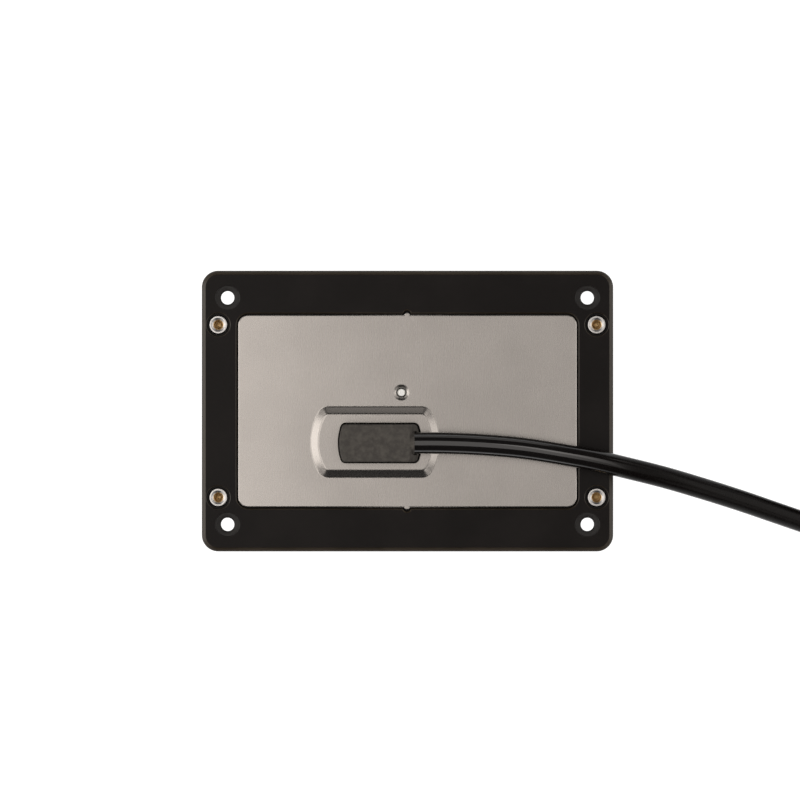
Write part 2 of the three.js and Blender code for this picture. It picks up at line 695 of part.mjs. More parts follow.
function circuitBoard() {
  const outline = block(BOARD.left, BOARD.right, -BOARD.halfDepth, BOARD.halfDepth, BOARD.low, BOARD_TOP);
  const holes = BOARD_POSTS.map((at) => rod(1.4, BOARD.low - 1, BOARD_TOP + 1, { at, sides: 16 }));
  return cut(outline, ...holes);
}

function boardHeader() {
  const shell = block(-6, 6, -4.5, 4.5, 0, 8);
  return cut(shell, block(-4.8, 4.8, -3.3, 3.3, 2, 9));
}

const electronics = addGroup(0, 0, 0);
addPiece(electronics, 'circuit_board', circuitBoard(), FINISH.board);
[BOARD_POSTS[0], BOARD_POSTS[3]].forEach(([x, y], i) => {
  const screw = panScrew(1.1, 7, 2.2, 1.5);
  addPiece(electronics, `board_screw_${i + 1}`, screw, FINISH.zinc, [x, y, BOARD_TOP + GAP]);
});
const headerPosition = [HEADER.x, HEADER.y, BOARD_TOP + GAP];
addPiece(electronics, 'board_header', boardHeader(), FINISH.whitePlastic, headerPosition);
const chip = block(-4.5, 4.5, -4.5, 4.5, 0, 1.6);
addPiece(electronics, 'motor_driver_chip', chip, FINISH.blackPlastic, [-43, 8, BOARD_TOP + GAP]);
const led = rod(1.6, 0, 2.6, { sides: 16 });
addPiece(electronics, 'status_led', led, FINISH.lens, [LIGHT_PIPE.x, LIGHT_PIPE.y, BOARD.low - GAP - 2.6]);

// ---------------------------------------------------------------- tag switch

function switchBracket() {
  const reach = CHASSIS.plateY - GAP;
  const { low, sheet } = BRACKET;
  const shelf = block(-31.3, -22, -reach, reach, low, low + sheet);
  const upright = block(-31.3, -30.1, -8, 8, low, 33);
  return cut(join(shelf, upright), rod(PLUNGER.stemRadius + GAP, low - 1, low + 3, {
    at: [PLUNGER.x, PLUNGER.y],
    sides: 16,
  }));
}

function tagSwitchBody() {
  const body = block(-29.7, -23.6, -6.8, 6.4, 26.2, 32.4);
  const leftCheek = block(-29.7, -28.9, -7, -4.2, 20.6, 26.3);
  const rightCheek = block(-24.4, -23.6, -7, -4.2, 20.6, 26.3);
  return join(body, leftCheek, rightCheek);
}

function switchLever() {
  const barrel = rod(0.8, -28.5, -24.8, { axis: 'x', at: [0, 0], sides: 16 });
  return join(barrel, block(-28.5, -24.8, 0, LEVER.reach, -0.25, 0.25));
}

const STEM_TOP = LEVER.z - 0.25 - GAP;
const COLLAR_LOW = NEST.floorTop + GAP;
const BUTTON_DROP = 4;

function tagPlunger() {
  const { buttonRadius, stemRadius, collarRadius } = PLUNGER;
  return turned([
    [0, -BUTTON_DROP],
    [buttonRadius - 0.8, -BUTTON_DROP],
    [buttonRadius, -BUTTON_DROP + 0.8],
    [buttonRadius, 0],
    [collarRadius, 0],
    [collarRadius, 1.2],
    [stemRadius, 1.2],
    [stemRadius, STEM_TOP - COLLAR_LOW],
    [0, STEM_TOP - COLLAR_LOW],
  ]);
}

class SpringHelix extends THREE.Curve {
  constructor(radius, height, turns) {
    super();
    this.radius = radius;
    this.height = height;
    this.turns = turns;
  }

  getPoint(t, target = new THREE.Vector3()) {
    const angle = 2 * Math.PI * this.turns * t;
    return target.set(this.radius * Math.cos(angle), this.radius * Math.sin(angle), this.height * t);
  }
}

const tagSwitch = addGroup(0, 0, 0);
addPiece(tagSwitch, 'switch_bracket', switchBracket(), FINISH.zinc);
addPiece(tagSwitch, 'tag_switch_body', tagSwitchBody(), FINISH.blackPlastic);
addPiece(tagSwitch, 'switch_lever', switchLever(), FINISH.steel, [0, LEVER.y, LEVER.z]);
addPiece(tagSwitch, 'tag_plunger', tagPlunger(), FINISH.acetal, [PLUNGER.x, PLUNGER.y, COLLAR_LOW]);
const springWire = 0.25;
const springLow = COLLAR_LOW + 1.2 + GAP + springWire;
const springHigh = BRACKET.low - GAP - springWire;
const springCurve = new SpringHelix(2.2, springHigh - springLow, 4);
const spring = tube(springCurve, springWire, 40, 5);
addPiece(tagSwitch, 'plunger_spring', spring, FINISH.steel, [PLUNGER.x, PLUNGER.y, springLow]);

// ---------------------------------------------------------------- lead entry

const RELIEF_LOW = BACK_Z - PLATE.thickness - GAP;
const CORD_AXIS_Z = 48.4;
const CORD_START_X = -0.5;

function strainRelief() {
  const flange = { ...RELIEF, width: RELIEF_FLANGE.width, depth: RELIEF_FLANGE.depth };
  const body = join(
    prism(bowedOutline(RELIEF), RELIEF_LOW, RELIEF.top, { bevel: 0.5, curveSegments: 5 }),
    prism(bowedOutline(flange), RELIEF_LOW, RELIEF_LOW + RELIEF_FLANGE.thickness),
  );
  const { topX, footX, footZ } = RELIEF_SLOPE;
  const above = RELIEF.top + 2;
  const slope = new THREE.Shape();
  slope.moveTo(topX, RELIEF.top + 0.1);
  slope.lineTo(footX, footZ);
  slope.lineTo(footX + 5, footZ);
  slope.lineTo(footX + 5, above);
  slope.lineTo(topX, above);
  slope.closePath();
  const along = { axis: 'x', at: [RELIEF.y, CORD_AXIS_Z], sides: 24 };
  const sloped = cut(body, prism(slope, -20, 0, { axis: 'y' }));
  const collar = rod(RELIEF_COLLAR.radius, CORD_START_X, RELIEF_COLLAR.endX, along);
  const bore = rod(CORD_DIAMETER / 2 + RELIEF_COLLAR.clearance, CORD_START_X - GAP, 10, along);
  return cut(join(sloped, collar), bore);
}

const HARNESS_ROUTE = [[-9.2, -10.6, 39.4], [-10.5, -10.8, 37], [-15, -11.2, 36.2], [-26, -12.8, 36],
  [-36, -14.6, 36], [-42, -15.7, 34.6], [-44, -16, 31.4]];

function smoothCurve(route) {
  const points = route.map((point) => new THREE.Vector3(...point));
  return new THREE.CatmullRomCurve3(points, false, 'centripetal');
}

const leadEntry = addGroup(0, 0, 0);
addPiece(leadEntry, 'strain_relief', strainRelief(), FINISH.rubber);
addPiece(leadEntry, 'inner_harness', tube(smoothCurve(HARNESS_ROUTE), 1.8, 14, 8), FINISH.cordSheath);

// ---------------------------------------------------------------- lead

// Chosen by hand: over the plate and flange, off the edge and down to the surface.
const LEAD_ROUTE = [
  [CORD_START_X, -10.6, 48.4],
  [11, -10.6, 48.4],
  [24, -11.1, 48.2],
  [38, -12.3, 47.6],
  [51, -14.3, 46.9],
  [62, -16.3, 46.2],
  [73, -18.9, 44.9],
  [85, -21.9, 41.6],
  [98, -25.7, 36.0],
  [112, -30.1, 28.4],
  [126.4, -35.0, 20.2],
  [140, -39.6, 12.6],
  [154, -44.0, 6.8],
  [163, -46.6, 4.6],
];

// Chosen by hand: off the coil's side and down to the plug.
const TAIL_ROUTE = [
  [233.2, -21.6, 9.8],
  [237.1, -14.4, 9.2],
  [242.3, 1.0, 8.1],
  [244.1, 17.1, 7.6],
];
const PLUG_AT = [244.1, 17.4, 7.6];

// The outer shape of the coil: three loops wide and two layers high.
function coilProfile(spare) {
  const radius = CORD_DIAMETER / 2 + spare;
  const [outer, , inner] = COIL.columns;
  const low = CORD_DIAMETER / 2 + 0.1 - radius;
  const high = CORD_DIAMETER / 2 + 0.1 + COIL.layer + radius;
  const soften = 1.6;
  return [
    [inner - radius + soften, low],
    [outer + radius - soften, low],
    [outer + radius, low + soften],
    [outer + radius, high - soften],
    [outer + radius - soften, high],
    [inner - radius + soften, high],
    [inner - radius, high - soften],
    [inner - radius, low + soften],
    [inner - radius + soften, low],
  ];
}

function coilRing(spare) {
  return turned(coilProfile(spare), { sides: 40 });
}

function plugOvermould() {
  const ribs = [4, 6.5, 9].flatMap((y) => [[4.7, y], [4.7, y + 1], [4.2, y + 1], [4.2, y + 2.5]]);
  const grip = [[6.9, 13.5], [7.5, 15], [7.5, 28], [6.9, 29]];
  const profile = [[0, 0.3], [4.2, 0.3], [4.2, 4], ...ribs, ...grip, [0, 29]];
  return turned(profile, { axis: 'y' });
}

function plugShell() {
  const profile = [[5.7, 29.3], [6.6, 29.3], [6.6, 40], [6.2, 40.4], [5.7, 40.4], [5.7, 29.3]];
  return turned(profile, { axis: 'y' });
}

function plugCore() {
  const core = rod(5.3, 29.3, 36, { axis: 'y', sides: 20 });
  return cut(core, ...[-2, 2].map((x) => rod(0.9, 30, 37, { axis: 'y', at: [x, 0], sides: 12 })));
}

const coilOffset = [COIL.x, COIL.y, 0];
const coilClearance = coilRing(GAP).translate(coilOffset);
const leadTube = tube(smoothCurve(LEAD_ROUTE), CORD_DIAMETER / 2, 20, 10);
const tailTube = tube(smoothCurve(TAIL_ROUTE), CORD_DIAMETER / 2, 6, 10);
const lead = addGroup(0, 0, 0);
addPiece(lead, 'lead_cord', cut(leadTube, coilClearance), FINISH.cordSheath);
addPiece(lead, 'lead_coil', coilRing(0), FINISH.cordSheath, coilOffset);
addPiece(lead, 'lead_tail', cut(tailTube, coilClearance), FINISH.cordSheath);

const plug = addGroup(...PLUG_AT);
addPiece(plug, 'plug_overmould', plugOvermould(), FINISH.blackPlastic);
addPiece(plug, 'plug_shell', plugShell(), FINISH.zinc);
addPiece(plug, 'plug_core', plugCore(), FINISH.greyPlastic);
[-2, 2].forEach((x, i) => {
  const pin = rod(0.6, 30.3, 39, { axis: 'y', at: [x, 0], sides: 12 });
  addPiece(plug, `plug_pin_${i + 1}`, pin, FINISH.brass);
});

export default detacher;
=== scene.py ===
"""Looks of a counter-top security tag detacher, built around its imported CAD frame.

The finishes come first, then the studio, the lead, the housing, the plate and the small metal parts.
Lengths are in metres. Sizes in millimetres go through the MM factor.
"""

import json
import logging
import math
from dataclasses import dataclass, field
from enum import Enum, IntEnum

import bmesh
import bpy
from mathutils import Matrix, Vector


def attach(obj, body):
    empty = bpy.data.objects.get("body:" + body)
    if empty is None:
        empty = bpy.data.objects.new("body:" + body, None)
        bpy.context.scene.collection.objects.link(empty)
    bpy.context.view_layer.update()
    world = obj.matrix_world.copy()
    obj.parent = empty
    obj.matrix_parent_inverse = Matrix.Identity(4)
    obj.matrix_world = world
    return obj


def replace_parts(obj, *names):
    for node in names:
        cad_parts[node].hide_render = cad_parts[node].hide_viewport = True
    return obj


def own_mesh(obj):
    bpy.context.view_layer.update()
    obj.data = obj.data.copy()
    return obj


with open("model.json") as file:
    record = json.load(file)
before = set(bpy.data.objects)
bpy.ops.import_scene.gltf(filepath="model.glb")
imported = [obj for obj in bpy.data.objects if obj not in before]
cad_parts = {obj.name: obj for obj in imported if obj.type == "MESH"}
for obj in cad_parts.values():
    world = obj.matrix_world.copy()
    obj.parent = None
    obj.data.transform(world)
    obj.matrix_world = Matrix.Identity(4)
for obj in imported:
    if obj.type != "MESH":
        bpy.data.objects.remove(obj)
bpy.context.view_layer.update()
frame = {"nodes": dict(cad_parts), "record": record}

LOG = logging.getLogger("detacher")
MM = 0.001
Point = tuple[float, float, float]
Pair = tuple[float, float]
Colour = tuple[float, float, float]


def four_corners(x: float, y: float) -> tuple[Pair, ...]:
    """Gives the four mirrored copies of a point, back row first."""
    return tuple((side_x * x, side_y * y) for side_y in (1, -1) for side_x in (-1, 1))


# Heights and hole centres on the flange, in millimetres.
BACK_Z = 42.0
FLANGE_FOOT_Z = 37.5
SCREWS_AT = four_corners(60.0, 37.8)
INSERTS_AT = four_corners(63.1, 28.8)
STUD_AT: Pair = (-2.03, 6.2)
UP = Vector((0.0, 0.0, 1.0))


# ------------------------------------------------------------------ shader sheet


class Wire:
    """One output socket whose operators add Math nodes."""

    def __init__(self, sheet: "NodeSheet", socket: bpy.types.NodeSocket) -> None:
        """Keeps the sheet that owns the socket, and the socket."""
        self.sheet = sheet
        self.socket = socket

    def _maths(self, operation: str, first: object, second: object) -> "Wire":
        """Adds one Math node.

        Args:
            operation: the Math node's operation.
            first: a number or a Wire.
            second: a number or a Wire.

        Returns:
            The result's Wire.
        """
        return self.sheet.add("ShaderNodeMath", {"operation": operation}, {0: first, 1: second})

    def __add__(self, other: object) -> "Wire":
        """Adds."""
        return self._maths("ADD", self, other)

    def __sub__(self, other: object) -> "Wire":
        """Subtracts."""
        return self._maths("SUBTRACT", self, other)

    def __mul__(self, other: object) -> "Wire":
        """Multiplies."""
        return self._maths("MULTIPLY", self, other)

    def __truediv__(self, other: object) -> "Wire":
        """Divides."""
        return self._maths("DIVIDE", self, other)


class NodeSheet:
    """A material's node tree, with one method that adds any node."""

    def __init__(self, name: str) -> None:
        """Makes an empty material.

        Args:
            name: the material's name.
        """
        self.material = bpy.data.materials.new(name)
        self.material.use_nodes = True
        self.tree = self.material.node_tree
        self.tree.nodes.clear()

    def add(
        self,
        kind: str,
        settings: dict[str, object] | None = None,
        sockets: dict[object, object] | None = None,
        output: int | str = 0,
    ) -> Wire:
        """Adds a node, sets its settings first and then its sockets.

        Args:
            kind: the node's type.
            settings: attributes of the node.
            sockets: values or Wires for input sockets, by name or number.
            output: which output the Wire stands for.

        Returns:
            The Wire of that output.
        """
        node = self.tree.nodes.new(kind)
        for key, value in (settings or {}).items():
            setattr(node, key, value)
        for key, value in (sockets or {}).items():
            if isinstance(value, Wire):
                self.tree.links.new(value.socket, node.inputs[key])
            else:
                node.inputs[key].default_value = value
        return Wire(self, node.outputs[output])

    def place(self, scale: Point = (1.0, 1.0, 1.0)) -> Wire:
        """Object coordinates, stretched.

        Args:
            scale: how many pattern units fit in a metre, along each axis.

        Returns:
            The mapped coordinates.
        """
        where = self.add("ShaderNodeTexCoord", output="Object")
        return self.add("ShaderNodeMapping", {"vector_type": "POINT"}, {"Vector": where, "Scale": scale})

    def noise(self, where: Wire, scale: float, detail: float = 3.0, rough: float = 0.5) -> Wire:
        """A noise value from 0 to 1.

        Args:
            where: coordinates.
            scale: the noise's frequency.
            detail: octaves.
            rough: the weight of the finer octaves.

        Returns:
            The noise factor.
        """
        sockets = {"Vector": where, "Scale": scale, "Detail": detail, "Roughness": rough}
        return self.add("ShaderNodeTexNoise", {}, sockets, "Fac")

    def ramp(self, value: Wire, low: float, high: float, start: float, end: float) -> Wire:
        """Maps a value's span onto another, clamped.

        Args:
            value: the input.
            low: the input that gives start.
            high: the input that gives end.
            start: the first output.
            end: the last output.

        Returns:
            The mapped value.
        """
        settings = {"clamp": True, "interpolation_type": "SMOOTHSTEP"}
        sockets = {"Value": value, 1: low, 2: high, 3: start, 4: end}
        return self.add("ShaderNodeMapRange", settings, sockets)

    def blend(self, amount: object, first: Colour | Wire, second: Colour | Wire) -> Wire:
        """Mixes two colours.

        Args:
            amount: 0 gives the first, 1 the second.
            first: a colour or Wire.
            second: a colour or Wire.

        Returns:
            The mixed colour.
        """
        pair = [c if isinstance(c, Wire) else (*c, 1.0) for c in (first, second)]
        sockets = {0: amount, 6: pair[0], 7: pair[1]}
        return self.add("ShaderNodeMix", {"data_type": "RGBA"}, sockets, 2)

    def bump(self, height: Wire, strength: float, distance: float) -> Wire:
        """Turns a height into a normal.

        Args:
            height: the height value.
            strength: the bump's strength.
            distance: the height of 1, in metres.

        Returns:
            The normal.
        """
        sockets = {"Height": height, "Strength": strength, "Distance": distance}
        return self.add("ShaderNodeBump", {}, sockets)

    def surface(self, **sockets: object) -> bpy.types.Material:
        """Adds the shader and the output.

        Args:
            **sockets: the shader's inputs, with spaces written as underscores.

        Returns:
            The finished material.
        """
        named = {key.replace("_", " "): value for key, value in sockets.items()}
        shader = self.add("ShaderNodeBsdfPrincipled", {}, named)
        self.add_output(shader)
        return self.material

    def add_output(self, shader: Wire) -> None:
        """Links a shader to the material's output."""
        node = self.tree.nodes.new("ShaderNodeOutputMaterial")
        self.tree.links.new(shader.socket, node.inputs["Surface"])


# ------------------------------------------------------------------ finishes


@dataclass(frozen=True)
class MouldedPlastic:
    """Injection-moulded plastic with a fine spark-eroded grain."""

    name: str
    colour: Colour
    roughness: float
    grain: float = 2600.0
    depth: float = 0.00002
    gloss: float = 0.5

    def make(self) -> bpy.types.Material:
        """Builds the material.

        Returns:
            The material.
        """
        sheet = NodeSheet(self.name)
        where = sheet.place()
        grain = sheet.noise(where, self.grain, 2.0, 0.6)
        cloud = sheet.noise(where, 45.0, 4.0, 0.55)
        lighter = tuple(min(1.0, c * 1.35 + 0.002) for c in self.colour)
        colour = sheet.blend(sheet.ramp(cloud, 0.35, 0.7, 0.0, 1.0), self.colour, lighter)
        rough = sheet.ramp(cloud, 0.3, 0.7, self.roughness - 0.04, self.roughness + 0.05)
        return sheet.surface(
            Base_Color=colour,
            Roughness=rough,
            Specular_IOR_Level=self.gloss,
            Normal=sheet.bump(grain, 0.35, self.depth),
        )


class Lay(Enum):
    """The way a metal's brush lines run, with the stretch of the pattern along x and y."""

    ALONG_X = (1 / 60, 1.0)
    ALONG_Y = (1.0, 1 / 60)


@dataclass(frozen=True)
class BrushedMetal:
    """Satin metal with fine parallel brush lines and faint handling marks."""

    name: str
    colour: Colour
    roughness: float
    lay: Lay
    lines: float = 4200.0
    depth: float = 0.000004

    def make(self) -> bpy.types.Material:
        """Builds the material.

        Returns:
            The material.
        """
        sheet = NodeSheet(self.name)
        along_x, along_y = self.lay.value
        stretch = (self.lines * along_x, self.lines * along_y, self.lines)
        lines = sheet.noise(sheet.place(stretch), 1.0, 3.0, 0.6)
        grain = sheet.noise(sheet.place(), self.lines / 4, 3.0, 0.6)
        brushed = lines * 0.3 + grain * 0.7
        cloud = sheet.noise(sheet.place(), 60.0, 2.0, 0.5)
        darker = tuple(c * 0.9 for c in self.colour)
        clouded = tuple(c * 0.93 for c in self.colour)
        toned = sheet.blend(sheet.ramp(cloud, 0.3, 0.7, 0.0, 1.0), self.colour, clouded)
        colour = sheet.blend(sheet.ramp(brushed, 0.3, 0.7, 0.0, 0.35), toned, darker)
        rough = sheet.ramp(lines, 0.2, 0.8, self.roughness - 0.008, self.roughness + 0.01)
        return sheet.surface(
            Base_Color=colour,
            Metallic=1.0,
            Roughness=rough,
            Normal=sheet.bump(lines, 0.03, self.depth),
        )


@dataclass(frozen=True)
class PlatedMetal:
    """Plated or machined small parts, with soft tarnish in their tone."""

    name: str
    colour: Colour
    tarnish: Colour
    roughness: float

    def make(self) -> bpy.types.Material:
        """Builds the material.

        Returns:
            The material.
        """
        sheet = NodeSheet(self.name)
        cloud = sheet.noise(sheet.place(), 700.0, 3.0, 0.55)
        fine = sheet.noise(sheet.place(), 5200.0, 2.0, 0.6)
        colour = sheet.blend(sheet.ramp(cloud, 0.42, 0.72, 0.0, 1.0), self.colour, self.tarnish)
        rough = sheet.ramp(fine, 0.3, 0.7, self.roughness - 0.05, self.roughness + 0.08)
        return sheet.surface(
            Base_Color=colour,
            Metallic=1.0,
            Roughness=rough,
            Normal=sheet.bump(fine, 0.1, 0.000004),
        )


@dataclass(frozen=True)
class MouldedRubber:
    """Dull rubber with a mottled bloom and tiny pits."""

    name: str
    colour: Colour
    bloom: Colour
    roughness: float = 0.78

    def make(self) -> bpy.types.Material:
        """Builds the material.

        Returns:
            The material.
        """
        sheet = NodeSheet(self.name)
        where = sheet.place()
        mottle = sheet.noise(where, 420.0, 5.0, 0.7)
        pits = sheet.noise(where, 2400.0, 2.0, 0.6)
        colour = sheet.blend(sheet.ramp(mottle, 0.35, 0.68, 0.0, 1.0), self.colour, self.bloom)
        rough = sheet.ramp(mottle, 0.3, 0.7, self.roughness - 0.08, self.roughness + 0.08)
        return sheet.surface(
            Base_Color=colour,
            Roughness=rough,
            Specular_IOR_Level=0.35,
            Normal=sheet.bump(pits + mottle * 0.6, 0.5, 0.00006),
        )


@dataclass(frozen=True)
class LeadSheath:
    """Extruded sheath, slightly uneven, with a clear gloss on its first stretch that fades along x."""

    name: str
    colour: Colour
    roughness: float = 0.24
    gloss_start: float = 0.045
    gloss_end: float = 0.078

    def make(self) -> bpy.types.Material:
        """Builds the material.

        Returns:
            The material.
        """
        sheet = NodeSheet(self.name)
        where = sheet.place()
        swell = sheet.noise(where, 70.0, 2.0, 0.5)
        scuffs = sheet.noise(where, 1500.0, 4.0, 0.65)
        rough = sheet.ramp(scuffs, 0.35, 0.75, self.roughness - 0.04, self.roughness + 0.12)
        lighter = tuple(c * 1.8 + 0.001 for c in self.colour)
        colour = sheet.blend(sheet.ramp(scuffs, 0.5, 0.8, 0.0, 0.5), self.colour, lighter)
        along = sheet.add("ShaderNodeSeparateXYZ", {}, {0: where}, "X")
        return sheet.surface(
            Base_Color=colour,
            Roughness=rough,
            Specular_IOR_Level=0.08,
            Coat_Weight=sheet.ramp(along, self.gloss_start, self.gloss_end, 1.0, 0.0),
            Coat_IOR=1.75,
            Coat_Roughness=0.07,
            Normal=sheet.bump(swell, 0.5, 0.0004),
        )


@dataclass(frozen=True)
class ClearLens:
    """Tinted clear plastic."""

    name: str
    colour: Colour
    haze: Colour = (0.9, 0.95, 0.9)

    def make(self) -> bpy.types.Material:
        """Builds the material.

        Returns:
            The material.
        """
        sheet = NodeSheet(self.name)
        haze = sheet.noise(sheet.place(), 900.0, 3.0, 0.5)
        return sheet.surface(
            Base_Color=sheet.blend(sheet.ramp(haze, 0.4, 0.7, 0.0, 0.4), self.colour, self.haze),
            Roughness=sheet.ramp(haze, 0.3, 0.7, 0.06, 0.16),
            Transmission_Weight=0.6,
            IOR=1.49,
        )


@dataclass(frozen=True)
class BoardLaminate:
    """Solder mask over glass cloth, with a faint weave and copper shadows."""

    name: str
    mask: Colour
    copper: Colour

    def make(self) -> bpy.types.Material:
        """Builds the material.

        Returns:
            The material.
        """
        sheet = NodeSheet(self.name)
        where = sheet.place()
        tracks = sheet.add(
            "ShaderNodeTexBrick",
            {"offset": 0.37, "squash": 1.0},
            {"Vector": where, "Scale": 260.0, "Mortar Size": 0.02, "Brick Width": 1.7, "Row Height": 0.5},
            "Fac",
        )
        weave = sheet.noise(where, 3000.0, 1.0, 0.5)
        return sheet.surface(
            Base_Color=sheet.blend(tracks, self.mask, self.copper),
            Roughness=sheet.ramp(weave, 0.3, 0.7, 0.25, 0.4),
            Normal=sheet.bump(weave + tracks, 0.3, 0.00004),
        )


# ------------------------------------------------------------------ outlines


def arc_points(centre: Pair, radius: float, start: float, end: float, steps: int) -> list[Pair]:
    """Points along an arc, both ends included.

    Args:
        centre: the arc's centre.
        radius: its radius.
        start: the first angle in radians.
        end: the last angle in radians.
        steps: how many chords.

    Returns:
        The points.
    """
    angles = [start + (end - start) * i / steps for i in range(steps + 1)]
    return [(centre[0] + radius * math.cos(a), centre[1] + radius * math.sin(a)) for a in angles]


class Outline:
    """A closed flat outline that can be offset inwards, in millimetres."""

    def flat(self, inset: float) -> list[Pair]:
        """Gives the outline's points, counter-clockwise."""
        raise NotImplementedError

    def at(self, inset: float, height: float) -> list[Vector]:
        """Gives the offset outline at a height.

        Args:
            inset: how far inwards, or outwards where negative.
            height: the z of every point.

        Returns:
            The points in metres.
        """
        return [Vector((x * MM, y * MM, height * MM)) for x, y in self.flat(inset)]


@dataclass(frozen=True)
class Circle(Outline):
    """A round outline."""

    x: float
    y: float
    radius: float
    steps: int = 48

    def flat(self, inset: float) -> list[Pair]:
        """Gives the circle's points.

        Args:
            inset: how much smaller the radius is.

        Returns:
            The points.
        """
        return arc_points((self.x, self.y), self.radius - inset, 0.0, 2 * math.pi, self.steps)[:-1]


@dataclass(frozen=True)
class RoundedPanel(Outline):
    """A rectangle with round corners, and a round ear on each long side where ear is set."""

    width: float
    depth: float
    corner: float
    ear: float = 0.0
    ear_x: float = 0.0
    ear_y: float = 0.0
    steps: int = 12

    def flat(self, inset: float) -> list[Pair]:
        """Gives the panel's points.

        Args:
            inset: how far inwards.

        Returns:
            The points.
        """
        half_x, half_y = self.width / 2 - self.corner, self.depth / 2 - self.corner
        radius = self.corner - inset
        quarter = math.pi / 2
        made: list[Pair] = []
        for turn, (sx, sy) in enumerate(((1, 1), (-1, 1), (-1, -1), (1, -1))):
            start = turn * quarter
            made += arc_points((sx * half_x, sy * half_y), radius, start, start + quarter, self.steps)
            if self.ear and sx * sy > 0:
                made += self._ear_points(sy, inset)
        return made

    def _ear_points(self, side: int, inset: float) -> list[Pair]:
        """Gives one ear's arc.

        Args:
            side: 1 for the ear at +y, -1 at -y.
            inset: how far inwards.

        Returns:
            The points, in the outline's direction.
        """
        radius = self.ear - inset
        rise = (self.depth / 2 - inset - self.ear_y) / radius
        low = math.asin(max(-0.95, min(0.95, rise)))
        base = 0.0 if side > 0 else math.pi
        return arc_points(
            (self.ear_x, side * self.ear_y), radius, base + low, base + math.pi - low, self.steps
        )


@dataclass(frozen=True)
class BowedPanel(Outline):
    """Straight long sides, bowed ends and filleted corners."""

    x: float
    y: float
    width: float
    depth: float
    end_radius: float
    fillet: float
    steps: int = 14

    def flat(self, inset: float) -> list[Pair]:
        """Gives the panel's points.

        Args:
            inset: how far inwards.

        Returns:
            The points.
        """
        end_x = self.width / 2 - self.end_radius
        end_radius, fillet = self.end_radius - inset, self.fillet - inset
        fillet_y = self.depth / 2 - self.fillet
        fillet_x = end_x + math.sqrt((self.end_radius - self.fillet) ** 2 - fillet_y**2)
        turn = math.atan2(fillet_y, fillet_x - end_x)
        quarter = math.pi / 2
        made: list[Pair] = []
        made += arc_points((end_x, 0), end_radius, -turn, turn, self.steps)
        made += arc_points((fillet_x, fillet_y), fillet, turn, quarter, self.steps)[1:]
        made += arc_points((-fillet_x, fillet_y), fillet, quarter, math.pi - turn, self.steps)
        made += arc_points((-end_x, 0), end_radius, math.pi - turn, math.pi + turn, self.steps)[1:]
        made += arc_points((-fillet_x, -fillet_y), fillet, math.pi + turn, 3 * quarter, self.steps)[1:]
        made += arc_points((fillet_x, -fillet_y), fillet, 3 * quarter, 4 * quarter - turn, self.steps)[:-1]
        return [(self.x + x, self.y + y) for x, y in made]


# ------------------------------------------------------------------ mesh making


